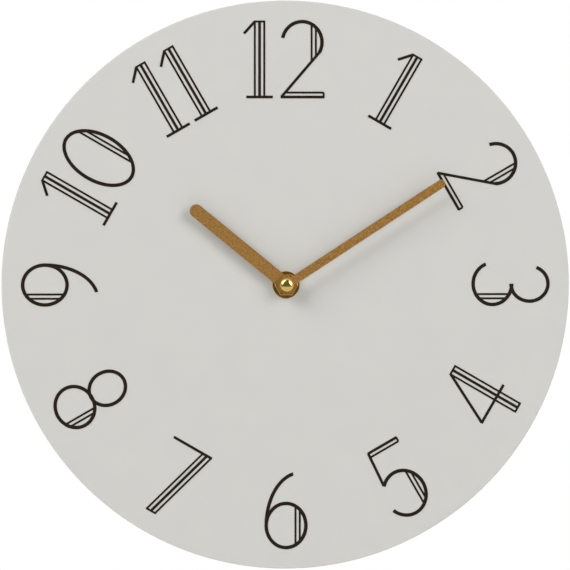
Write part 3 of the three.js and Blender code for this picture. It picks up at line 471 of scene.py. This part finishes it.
def edit(piece, kind, test):
    """Opens a piece in edit mode with the vertices, edges or faces that pass a test selected."""
    activate(piece)
    bpy.ops.object.mode_set(mode="EDIT")
    bpy.ops.mesh.select_mode(type=kind)
    bpy.ops.mesh.select_all(action="DESELECT")
    bpy.ops.object.mode_set(mode="OBJECT")
    parts = {"VERT": piece.data.vertices, "EDGE": piece.data.edges, "FACE": piece.data.polygons}[kind]
    for part in parts:
        part.select = bool(test(part))
    bpy.ops.object.mode_set(mode="EDIT")


def close_edit():
    """Merges doubled points, turns every face outwards and leaves edit mode."""
    bpy.ops.mesh.select_mode(type="VERT")
    bpy.ops.mesh.select_all(action="SELECT")
    bpy.ops.mesh.remove_doubles(threshold=0.001 * MM)
    bpy.ops.mesh.normals_make_consistent(inside=False)
    bpy.ops.object.mode_set(mode="OBJECT")


def settle(piece, name, body, slot, *nodes, turn=0.0):
    """Puts a piece's place into its mesh, cleans and smooths it, gives it its name, its finish and its
    body, and hides the nodes that it stands for. A turn is clockwise about the hands' axis, in degrees."""
    activate(piece)
    piece.rotation_euler.y += math.radians(turn)
    bpy.ops.object.transform_apply(location=True, rotation=True, scale=True)
    edit(piece, "FACE", lambda face: True)
    bpy.ops.mesh.dissolve_degenerate(threshold=0.002 * MM)
    close_edit()
    bpy.ops.object.shade_smooth_by_angle(angle=math.radians(35))
    bpy.ops.object.modifier_add(type="WEIGHTED_NORMAL")
    piece.modifiers[-1].keep_sharp = True
    bpy.ops.object.modifier_apply(modifier=piece.modifiers[-1].name)
    piece.name = piece.data.name = name
    piece.data.materials.clear()
    piece.data.materials.append(FINISHES[slot])
    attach(piece, body)
    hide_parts(*nodes)
    return piece


def round_edges(piece, width, segments=3, angle=30):
    """Rounds every edge sharper than an angle, by a width in millimetres."""
    activate(piece)
    bpy.ops.object.modifier_add(type="BEVEL")
    bevel = piece.modifiers[-1]
    bevel.width = width * MM
    bevel.segments = segments
    bevel.limit_method = "ANGLE"
    bevel.angle_limit = math.radians(angle)
    bevel.use_clamp_overlap = True
    bpy.ops.object.modifier_apply(modifier=bevel.name)


def combine(piece, operation, *others):
    """Unites a piece with others, cuts them out of it, or keeps what they share; the others are used up."""
    for other in others:
        activate(piece)
        bpy.ops.object.modifier_add(type="BOOLEAN")
        boolean = piece.modifiers[-1]
        boolean.operation = operation
        boolean.solver = "EXACT"
        boolean.object = other
        bpy.ops.object.modifier_apply(modifier=boolean.name)
        bpy.data.objects.remove(other)
    return piece


def spun(profile, sides=96, x=0, z=0, turn=0.0):
    """A body turned about the depth axis, drawn ring by ring from (radius, depth) points in millimetres. It
    is solid if the points start and end on the axis, and a ring if they end where they began. Its first
    corner points up before the turn, which is clockwise in degrees."""
    solid = profile[0][0] == 0
    rings = profile[1:-1] if solid else profile
    radius, depth = rings[0]
    bpy.ops.object.select_all(action="DESELECT")
    bpy.ops.mesh.primitive_circle_add(
        vertices=sides, radius=radius * MM, rotation=(math.pi / 2, 0, 0), location=(0, -depth * MM, 0),
        fill_type="NGON" if solid else "NOTHING",
    )
    piece = bpy.context.object
    bpy.ops.object.transform_apply(location=True, rotation=True)
    edit(piece, "EDGE", lambda edge: True)
    for next_radius, next_depth in rings[1:]:
        bpy.ops.mesh.extrude_edges_move(TRANSFORM_OT_translate={"value": (0, (depth - next_depth) * MM, 0)})
        scale = next_radius / radius
        bpy.ops.transform.resize(value=(scale, 1, scale), center_override=(0, 0, 0))
        radius, depth = next_radius, next_depth
    if solid:
        bpy.ops.mesh.edge_face_add()
    close_edit()
    piece.location = (x * MM, 0, z * MM)
    piece.rotation_euler.y = math.radians(turn)
    activate(piece)
    bpy.ops.object.transform_apply(location=True, rotation=True)
    return piece


def drum(radius, rear, front, sides=64, x=0, z=0, turn=0.0):
    """A plain round or many-sided body between two depths."""
    return spun([(0, rear), (radius, rear), (radius, front), (0, front)], sides, x, z, turn)


def hoop(bore, radius, rear, front, x=0, z=0):
    """A plain ring between two depths."""
    return spun([(bore, rear), (radius, rear), (radius, front), (bore, front), (bore, rear)], x=x, z=z)


def block(left, right, bottom, top, rear, front, corner=0.0, above=-math.inf):
    """A block between two depths in millimetres. Seen from the front, its corners above a height are
    rounded."""
    bpy.ops.object.select_all(action="DESELECT")
    bpy.ops.mesh.primitive_cube_add(size=MM, location=(
        (left + right) / 2 * MM, -(rear + front) / 2 * MM, (bottom + top) / 2 * MM,
    ))
    piece = bpy.context.object
    piece.scale = (right - left, front - rear, top - bottom)
    bpy.ops.object.transform_apply(location=True, rotation=True, scale=True)
    if corner:
        ends = piece.data.vertices

        def runs_in_depth(edge):
            a, b = (ends[index].co for index in edge.vertices)
            return abs(a.x - b.x) + abs(a.z - b.z) < 0.01 * MM and a.z > above * MM
        edit(piece, "EDGE", runs_in_depth)
        bpy.ops.mesh.bevel(offset=corner * MM, segments=8, affect="EDGES")
        close_edit()
    return piece


def stretch_up(piece, distance):
    """Moves the upper half of a round body up by millimetres, which leaves a long body with round ends."""
    edit(piece, "VERT", lambda point: point.co.z > 0.001 * MM)
    bpy.ops.transform.translate(value=(0, 0, distance * MM))
    close_edit()


def add_dial():
    """The board with its rim eased by sanding, and the printed face trimmed flush to it."""
    rear, front = rear_and_front("dial_board")
    radius, bore = width_of("dial_board") / 2, 4.2
    board = spun([
        (bore, rear), (radius - 0.9, rear), (radius - 0.45, rear + 0.12), (radius - 0.12, rear + 0.45),
        (radius, rear + 0.9), (radius, front), (bore, front), (bore, rear),
    ], DIAL_SIDES)
    settle(board, "dial_board_eased", "clock_body", "fibreboard", "dial_board")
    rear, front = rear_and_front("dial_sheet")
    sheet = spun([
        (bore, rear), (radius, rear), (radius - 0.03, front - 0.22), (radius - 0.2, front - 0.12),
        (radius - 0.5, front - 0.04), (radius - 0.9, front), (bore, front), (bore, rear),
    ], DIAL_SIDES)
    settle(sheet, "dial_face_trimmed", "clock_body", "dial_paper", "dial_sheet")


def hand(node, length, width, boss, bore):
    """A hand cut from thin sheet, pointing up: a long round-ended strip on a round boss, its cut edges
    eased. The boss is a diameter and the bore a radius."""
    rear, front = rear_and_front(node)
    strip = drum(width / 2, rear, front)
    stretch_up(strip, length - width / 2)
    strip = combine(strip, "UNION", drum(boss / 2, rear, front))
    strip = combine(strip, "DIFFERENCE", drum(bore, rear - PAST, front + PAST))
    round_edges(strip, 0.12)
    return strip


def add_hands():
    """Both hands at the time that they show, the collet of the hour hand and the nut on the minute hand."""
    hour = hand("hour_hand", length=65, width=7, boss=10.3, bore=3.55)
    settle(hour, "hour_hand_cut", "hour_set", "bronze_paint", "hour_hand", turn=HOUR_ANGLE)
    minute = hand("minute_hand", length=99.6, width=4.6, boss=9.0, bore=1.45)
    settle(minute, "minute_hand_cut", "minute_set", "bronze_paint", "minute_hand", turn=MINUTE_ANGLE)
    add_collet()
    add_cap_nut()


def add_collet():
    """The brass collet of the hour hand: a flange behind the hand and a barrel through it."""
    rear, front = rear_and_front("hour_hand_collet")
    bore, barrel, flange, thickness, ease, barrel_ease = 2.7, 3.4, 4.1, 0.7, 0.1, 0.12
    step = rear + thickness
    collet = spun([
        (bore, rear + ease), (bore + ease, rear), (flange - ease, rear), (flange, rear + ease),
        (flange, step - ease), (flange - ease, step), (barrel, step), (barrel, front - barrel_ease),
        (barrel - barrel_ease, front), (bore + ease, front), (bore, front - ease), (bore, rear + ease),
    ])
    settle(collet, "hour_hand_collet_turned", "hour_set", "turned_brass", "hour_hand_collet")


def add_cap_nut():
    """The domed nut: a straight skirt, a shallow polished dome and a blind threaded hole behind."""
    rear, front = rear_and_front("cap_nut")
    radius, skirt, ease, steps = width_of("cap_nut") / 2, 1.1, 0.1, 14
    hole, hole_depth, hole_ease = 1.45, 1.65, 0.15
    profile = [
        (0, rear + hole_depth), (hole, rear + hole_depth), (hole, rear + hole_ease),
        (hole + hole_ease, rear), (radius - ease, rear), (radius, rear + ease),
    ]
    dome = front - rear - skirt
    for step in range(steps):
        angle = math.pi / 2 * step / steps
        profile.append((radius * math.cos(angle), rear + skirt + dome * math.sin(angle)))
    profile += [(0.06, front), (0, front)]
    settle(spun(profile), "cap_nut_domed", "minute_set", "polished_brass", "cap_nut")


def add_hub():
    """The washer, the hexagon nut and the threaded bushing that clamp the dial to the movement."""
    rear, front = rear_and_front("face_washer")
    radius, ease, bore_ease = width_of("face_washer") / 2, 0.1, 0.15
    washer = spun([
        (THREAD_HOLE, rear), (radius - ease, rear), (radius, rear + ease), (radius, front - 0.2),
        (radius - 0.06, front - 0.06), (radius - 0.2, front), (THREAD_HOLE + bore_ease, front),
        (THREAD_HOLE, front - bore_ease), (THREAD_HOLE, rear),
    ])
    settle(washer, "face_washer_turned", "clock_body", "turned_brass", "face_washer")
    rear, front = rear_and_front("hex_nut")
    across_flats, edge, countersink = 11, 0.55, 0.3
    nut = drum(across_flats / 2 / math.cos(math.pi / 6), rear, front, 6, turn=30)
    round_edges(nut, edge, 4, 20)
    nut = combine(nut, "DIFFERENCE", spun([
        (0, rear - PAST), (THREAD_HOLE, rear - PAST), (THREAD_HOLE, front - countersink),
        (THREAD_HOLE + countersink + PAST, front + PAST), (0, front + PAST),
    ]))
    settle(nut, "hex_nut_eased", "clock_body", "turned_brass", "hex_nut")
    add_bushing()


def add_bushing():
    """The bushing: a flange in front of the case and a thread of 0.75 mm pitch, drawn as plain grooves."""
    rear, front = rear_and_front("threaded_bushing")
    bore, crest, root, pitch, bore_ease = 2.85, 3.9, 3.55, 0.75, 0.15
    flange, thickness, ease = 6.0, 0.8, 0.1
    flange_rear = rear_and_front("front_case")[1]
    flange_front = flange_rear + thickness
    profile = [
        (bore, rear), (crest, rear), (crest, flange_rear), (flange - ease, flange_rear),
        (flange, flange_rear + ease), (flange, flange_front - ease), (flange - ease, flange_front),
        (root, flange_front),
    ]
    depth = flange_front + 0.2
    while depth + pitch < front:
        profile += [
            (root, depth), (crest, depth + pitch * 0.4), (crest, depth + pitch * 0.5),
            (root, depth + pitch * 0.9),
        ]
        depth += pitch
    profile += [(root, front), (bore + bore_ease, front), (bore, front - bore_ease), (bore, rear)]
    settle(spun(profile, 64), "threaded_bushing_cut", "clock_body", "turned_brass", "threaded_bushing")


def add_gasket():
    """The rubber ring between the case and the dial, punched from sheet."""
    rear, front = rear_and_front("gasket")
    bore, edge = 6.3, 0.15
    gasket = hoop(bore, width_of("gasket") / 2, rear, front)
    round_edges(gasket, edge)
    settle(gasket, "gasket_punched", "clock_body", "black_rubber", "gasket")


def add_case():
    """The movement's black case: a shell with its divider and posts, and two snap windows in each side
    wall."""
    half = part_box("front_case")[1].x / MM
    rear, front = rear_and_front("front_case")
    inner = half - WALL
    shell = block(-half, half, -half, half, rear, front, CORNER)
    round_edges(shell, 0.5, 4, 60)
    room = block(-inner, inner, -inner, inner, rear - PAST, front - WALL, CORNER - WALL)
    shell = combine(shell, "DIFFERENCE", room)
    middle = front - WALL / 2
    bay_top, bay_wall, notch = -11.7, 1, 1.4
    reach = inner - notch
    shell = combine(shell, "UNION", block(-reach, reach, bay_top, bay_top + bay_wall, rear, middle))
    low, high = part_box("train_plate")
    post, post_inset, seat = 1.5, 1.4, 0.3
    inset = post + post_inset
    for x in (low.x / MM + inset, high.x / MM - inset):
        for z in (low.z / MM - seat + inset, high.z / MM + seat - inset):
            shell = combine(shell, "UNION", drum(post, -low.y / MM, middle, 32, x, z))
    window_reach, window_rear, window_front, window_corner = 3, 2.3, 4.3, 0.3
    for side in (-1, 1):
        for z in SNAP_HEIGHTS:
            window = block(
                side * half - 2, side * half + 2, z - window_reach, z + window_reach,
                window_rear, window_front, window_corner,
            )
            shell = combine(shell, "DIFFERENCE", window)
    shell = combine(shell, "DIFFERENCE", drum(THREAD_HOLE, front - 3, front + PAST))
    pivot, pivot_depth = 0.75, 0.6
    socket = drum(pivot, front - 3, front - WALL + pivot_depth, 32, *MINUTE_WHEEL)
    shell = combine(shell, "DIFFERENCE", socket)
    settle(shell, "front_case_moulded", "clock_body", "black_plastic", "front_case")


def sunk_marks():
    """The cutters for what is sunk in the rear cover: a bare label field, a plus and a minus above the
    battery's ends, and an arrow round the setting knob."""
    sunk, label_sunk, label_corner = 0.35, 0.2, 1.0
    label = block(-17, 17, 14.5, 24.5, -PAST, label_sunk, label_corner)
    sign, stroke, sign_x, sign_z = 2.2, 0.5, 21.5, -8

    def bar(x, half_width, half_height):
        return block(
            x - half_width, x + half_width, sign_z - half_height, sign_z + half_height, -PAST, sunk,
        )
    plus = combine(bar(sign_x, sign, stroke), "UNION", bar(sign_x, stroke, sign))
    minus = bar(-sign_x, sign, stroke)
    x, z = MINUTE_WHEEL
    inner, outer, reach, head = 7.6, 8.4, 10, 1.5
    arrow = hoop(inner, outer, -PAST, sunk, x, z)
    arrow = combine(arrow, "INTERSECT", block(x - reach, x, z - reach, z + reach, -2, 1))
    arrow = combine(arrow, "UNION", drum(head, -PAST, sunk, 3, x + 0.6, z + (inner + outer) / 2, 90))
    return label, plus, minus, arrow


def snap_hook(half, side, z):
    """One hook of the rear cover, given half the cover's width: a tongue that slides inside the case's side
    wall, and a nose, sloped to lead it in, that springs into the window."""
    reach, tongue_front, nose_rear, nose_front, slope = 2.7, 4.2, 2.5, 4.1, 1.1
    inside, outside = sorted((side * (half - 2.2), side * (half - 1.3)))
    tongue = block(inside, outside, z - reach, z + reach, COVER_THICKNESS / 2, tongue_front)
    root, tip = sorted((side * (half - 1.4), side * (half - 0.4)))
    nose = block(root, tip, z - reach, z + reach, nose_rear, nose_front)
    edit(nose, "VERT", lambda point: abs(point.co.x) > (half - 0.5) * MM and point.co.y > -3 * MM)
    bpy.ops.transform.translate(value=(0, -slope * MM, 0))
    close_edit()
    return tongue, nose


def add_cover():
    """The rear cover: a window over the battery, an opening for the setting knob, sunk marks, pivot bosses
    within and four snap hooks."""
    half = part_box("rear_cover")[1].x / MM
    cover = block(-half, half, -half, half, 0, COVER_THICKNESS, CORNER)
    low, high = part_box("battery_cell")
    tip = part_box("battery_terminal")[1].x / MM
    end_gap, side_gap, knob_opening = 0.3, 0.1, 6.0
    middle = (low.z + high.z) / 2 / MM
    reach = (high.z - low.z) / 2 / MM + side_gap
    through = COVER_THICKNESS + PAST
    window = block(low.x / MM - end_gap, tip + end_gap, middle - reach, middle + reach, -PAST, through)
    opening = drum(knob_opening, -PAST, through, 96, *MINUTE_WHEEL)
    cover = combine(cover, "DIFFERENCE", window, opening)
    round_edges(cover, 0.3, 3, 40)
    cover = combine(cover, "DIFFERENCE", *sunk_marks())
    for side in (-1, 1):
        for z in SNAP_HEIGHTS:
            cover = combine(cover, "UNION", *snap_hook(half, side, z))
    boss, boss_height, pivot = 1.4, 0.8, 0.65
    for place in ((0, 0), THIRD_WHEEL, INTERMEDIATE_WHEEL, ROTOR):
        raised = drum(boss, COVER_THICKNESS / 2, COVER_THICKNESS + boss_height, 32, *place)
        socket = drum(pivot, COVER_THICKNESS / 2, COVER_THICKNESS + 2, 32, *place)
        cover = combine(cover, "UNION", raised)
        cover = combine(cover, "DIFFERENCE", socket)
    settle(cover, "rear_cover_moulded", "clock_body", "black_plastic", "rear_cover")


def add_hanging_tab():
    """The tab above the case: a keyhole for the nail's head and a foot on the case's top wall."""
    low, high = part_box("hanging_tab")
    left, right, bottom, top = low.x / MM, high.x / MM, low.z / MM, high.z / MM
    thickness, foot = 2, 1.2
    tab = block(left, right, bottom, top, 0, thickness, CORNER, above=bottom + 1)
    tab = combine(tab, "UNION", block(left, right, bottom, bottom + foot, 0, -low.y / MM))
    round_edges(tab, 0.25, 3, 40)
    head_radius, slot_radius, head_height, slot_run, flare = 4.3, 2.3, 7, 5.2, 0.25
    head, slot = (spun([
        (0, -PAST), (radius + flare + PAST, -PAST), (radius, flare), (radius, thickness - flare),
        (radius + flare + PAST, thickness + PAST), (0, thickness + PAST),
    ]) for radius in (head_radius, slot_radius))
    stretch_up(slot, slot_run)
    keyhole = combine(head, "UNION", slot)
    keyhole.location.z = (bottom + head_height) * MM
    tab = combine(tab, "DIFFERENCE", keyhole)
    settle(tab, "hanging_tab_moulded", "clock_body", "black_plastic", "hanging_tab")


def add_knob():
    """The setting knob: twenty grips round its rim, and a dished back to push with a fingertip."""
    rear, front = rear_and_front("setting_knob")
    x, z = MINUTE_WHEEL
    radius, grip, grips, ease = 5.5, 0.35, 20, 0.2
    dish, dish_rim, dish_depth, stem, floor = 3.2, 3.6, 0.25, 1.15, 0.8
    knob = spun([
        (0, rear + dish_depth), (dish, rear + dish_depth), (dish_rim, rear), (radius - ease, rear),
        (radius, rear + ease), (radius, front - ease), (radius - ease, front), (0, front),
    ], 8 * grips)

    def in_a_groove(point):
        angle = math.atan2(point.co.z, point.co.x) * grips / (2 * math.pi)
        return math.hypot(point.co.x, point.co.z) > (radius - 0.4) * MM and 0.2 < angle % 1 < 0.8
    edit(knob, "VERT", in_a_groove)
    scale = (radius - grip) / radius
    bpy.ops.transform.resize(value=(scale, 1, scale), center_override=(0, 0, 0))
    close_edit()
    knob = combine(knob, "DIFFERENCE", drum(stem, rear + floor, front + PAST, 32))
    knob.location = (x * MM, 0, z * MM)
    settle(knob, "setting_knob_gripped", "setting_set", "white_plastic", "setting_knob")


def along_x(piece, z, depth):
    """Lays a body that was turned about the depth axis along the battery's own axis."""
    activate(piece)
    piece.rotation_euler.z = math.pi / 2
    bpy.ops.object.transform_apply(rotation=True)
    piece.location = (0, -depth, z)
    bpy.ops.object.transform_apply(location=True)
    return piece


def add_battery():
    """The battery: a can with rolled shoulders in its printed film, and the pressed positive terminal."""
    low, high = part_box("battery_cell")
    z, depth = (low.z + high.z) / 2, -(low.y + high.y) / 2
    radius = (high.z - low.z) / 2 / MM
    end, shoulder = low.x / MM, high.x / MM
    can = spun([
        (0, end + 0.25), (4.6, end + 0.25), (5.0, end), (radius - 0.7, end), (radius - 0.2, end + 0.2),
        (radius, end + 0.7), (radius, shoulder - 0.9), (radius - 0.2, shoulder - 0.3),
        (radius - 0.8, shoulder), (0, shoulder),
    ])
    settle(along_x(can, z, depth), "battery_can", "clock_body", "battery_sleeve", "battery_cell")
    low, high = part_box("battery_terminal")
    radius, foot, end = (high.z - low.z) / 2 / MM, low.x / MM, high.x / MM
    tip = spun([
        (0, foot), (radius, foot), (radius, end - 0.5), (radius - 0.15, end - 0.15), (radius - 0.5, end),
        (0, end),
    ])
    settle(along_x(tip, z, depth), "battery_tip", "clock_body", "steel", "battery_terminal")


def add_camera():
    """A long lens, framed so that the hub and the dial's circle sit where they were photographed."""
    face = -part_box("dial_sheet")[0].y
    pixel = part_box("dial_board")[1].x / DIAL_RADIUS_PX
    hub = Vector((0, -face, 0))
    turned = Euler((math.pi / 2 - CAMERA_RISE, 0, -CAMERA_LEFT))
    aside = Vector((PHOTO_PIXELS / 2 - HUB_PX[0], HUB_PX[1] - PHOTO_PIXELS / 2, 0)) * pixel
    aside.z = CAMERA_DISTANCE
    aside.rotate(turned)
    data = bpy.data.cameras.new("camera")
    data.sensor_width = SENSOR
    data.lens = SENSOR * CAMERA_DISTANCE / (PHOTO_PIXELS * pixel)
    data.clip_start, data.clip_end = 0.1, 50
    camera = bpy.data.objects.new("camera", data)
    camera.location = hub + aside
    camera.rotation_euler = turned
    bpy.context.scene.collection.objects.link(camera)
    bpy.context.scene.camera = camera
    bpy.context.scene.view_settings.view_transform = "Standard"


def add_room():
    """White to the camera and in reflections, and a plain lower level for the light that falls on the
    object."""
    room = bpy.data.worlds.new("room")
    room.use_nodes = True
    room.node_tree.nodes.clear()
    level = add(room, "ShaderNodeMapRange", {"Value": seen(room), "To Min": AMBIENT, "To Max": 1.0})
    light = add(room, "ShaderNodeBackground", {
        "Color": linear("#ffffff"), "Strength": level.outputs["Result"],
    })
    add(room, "ShaderNodeOutputWorld", {"Surface": light.outputs["Background"]})
    bpy.context.scene.world = room


def stand_off(thing, distance, off, around):
    """Stands a lamp or a card at a distance from the hub, at an angle off the dial's axis and round it,
    facing the hub."""
    off, around = math.radians(off), math.radians(around)
    out = Vector((math.sin(off) * math.cos(around), -math.cos(off), math.sin(off) * math.sin(around)))
    across = Vector((math.cos(off) * math.cos(around), math.sin(off), math.cos(off) * math.sin(around)))
    thing.location = out * distance
    thing.rotation_euler = Matrix((across, out.cross(across), out)).transposed().to_euler()


def add_softboxes():
    """Softboxes high on the left and on the right, in front of the clock and behind it."""
    for name, (off, around, width, length, watts) in SOFTBOXES.items():
        data = bpy.data.lights.new(name, "AREA")
        data.shape = "RECTANGLE"
        data.size, data.size_y = width, length
        data.energy = watts
        lamp = bpy.data.objects.new(name, data)
        stand_off(lamp, LIGHT_DISTANCE, off, around)
        lamp.visible_camera = False
        bpy.context.scene.collection.objects.link(lamp)


def show_in_metal(thing, name, level):
    """Makes a stage object glow evenly at a level, in the reflections of metal and nowhere else."""
    thing.name = name
    cloth = bpy.data.materials.new(name)
    cloth.use_nodes = True
    cloth.node_tree.nodes.clear()
    glow = add(cloth, "ShaderNodeEmission", {"Color": linear("#ffffff"), "Strength": level})
    add(cloth, "ShaderNodeOutputMaterial", {"Surface": glow.outputs["Emission"]})
    thing.data.materials.append(cloth)
    thing.visible_camera = thing.visible_diffuse = thing.visible_transmission = thing.visible_shadow = False


def add_screen():
    """A dark cloth round the front, behind the lamps and the camera: it darkens metal faces that are turned
    to the viewer, and leaves the white of the room to their edges."""
    bpy.ops.object.select_all(action="DESELECT")
    bpy.ops.mesh.primitive_cylinder_add(
        vertices=96, radius=SCREEN_RADIUS, depth=SCREEN_TOP + FLOOR_DROP, end_fill_type="NOTHING",
        location=(0, 0, (SCREEN_TOP - FLOOR_DROP) / 2),
    )
    screen = bpy.context.object
    bpy.ops.object.transform_apply(location=True)
    edit(screen, "FACE", lambda face: True)
    bpy.ops.mesh.bisect(plane_co=(0, -SCREEN_SIDE, 0), plane_no=(0, 1, 0), clear_outer=True)
    bpy.ops.object.mode_set(mode="OBJECT")
    show_in_metal(screen, "screen", SCREEN_LEVEL)


def add_cards():
    """Two long white cards, one behind each front softbox."""
    for name, (off, around, width, length) in CARDS.items():
        bpy.ops.object.select_all(action="DESELECT")
        bpy.ops.mesh.primitive_plane_add(size=1)
        card = bpy.context.object
        card.scale = (width, length, 1)
        stand_off(card, CARD_DISTANCE, off, around)
        show_in_metal(card, name, CARD_LEVEL)


def add_floor():
    """A plain pale floor, as far below as under a clock on a wall. Far off it fades into the white of the
    room."""
    bpy.ops.object.select_all(action="DESELECT")
    bpy.ops.mesh.primitive_plane_add(size=FLOOR_SIZE, location=(0, 0, -FLOOR_DROP))
    floor = bpy.context.object
    floor.name = "floor"
    painted, spot = new_finish("pale_floor", "#e6e6e4", 0.8)
    distance = add(painted, "ShaderNodeVectorMath", {0: spot}, operation="LENGTH")
    far = add(painted, "ShaderNodeMapRange", {
        "Value": distance.outputs["Value"], "From Min": FLOOR_FADE[0], "From Max": FLOOR_FADE[1],
    }, interpolation_type="SMOOTHSTEP")
    faded = add(painted, "ShaderNodeMath", {
        0: far.outputs["Result"], 1: seen(painted),
    }, operation="MULTIPLY")
    glow = add(painted, "ShaderNodeEmission", {"Color": linear("#ffffff"), "Strength": 1.0})
    paint = painted.node_tree.nodes["Principled BSDF"]
    blend = add(painted, "ShaderNodeMixShader", {
        0: faded.outputs[0], 1: paint.outputs["BSDF"], 2: glow.outputs["Emission"],
    })
    feed(painted, painted.node_tree.nodes["Material Output"], {"Surface": blend.outputs["Shader"]})
    floor.data.materials.append(painted)


dress_frame()
add_dial()
add_hands()
add_hub()
add_gasket()
add_case()
add_cover()
add_hanging_tab()
add_knob()
add_battery()
add_camera()
add_room()
add_softboxes()
add_screen()
add_cards()
add_floor()
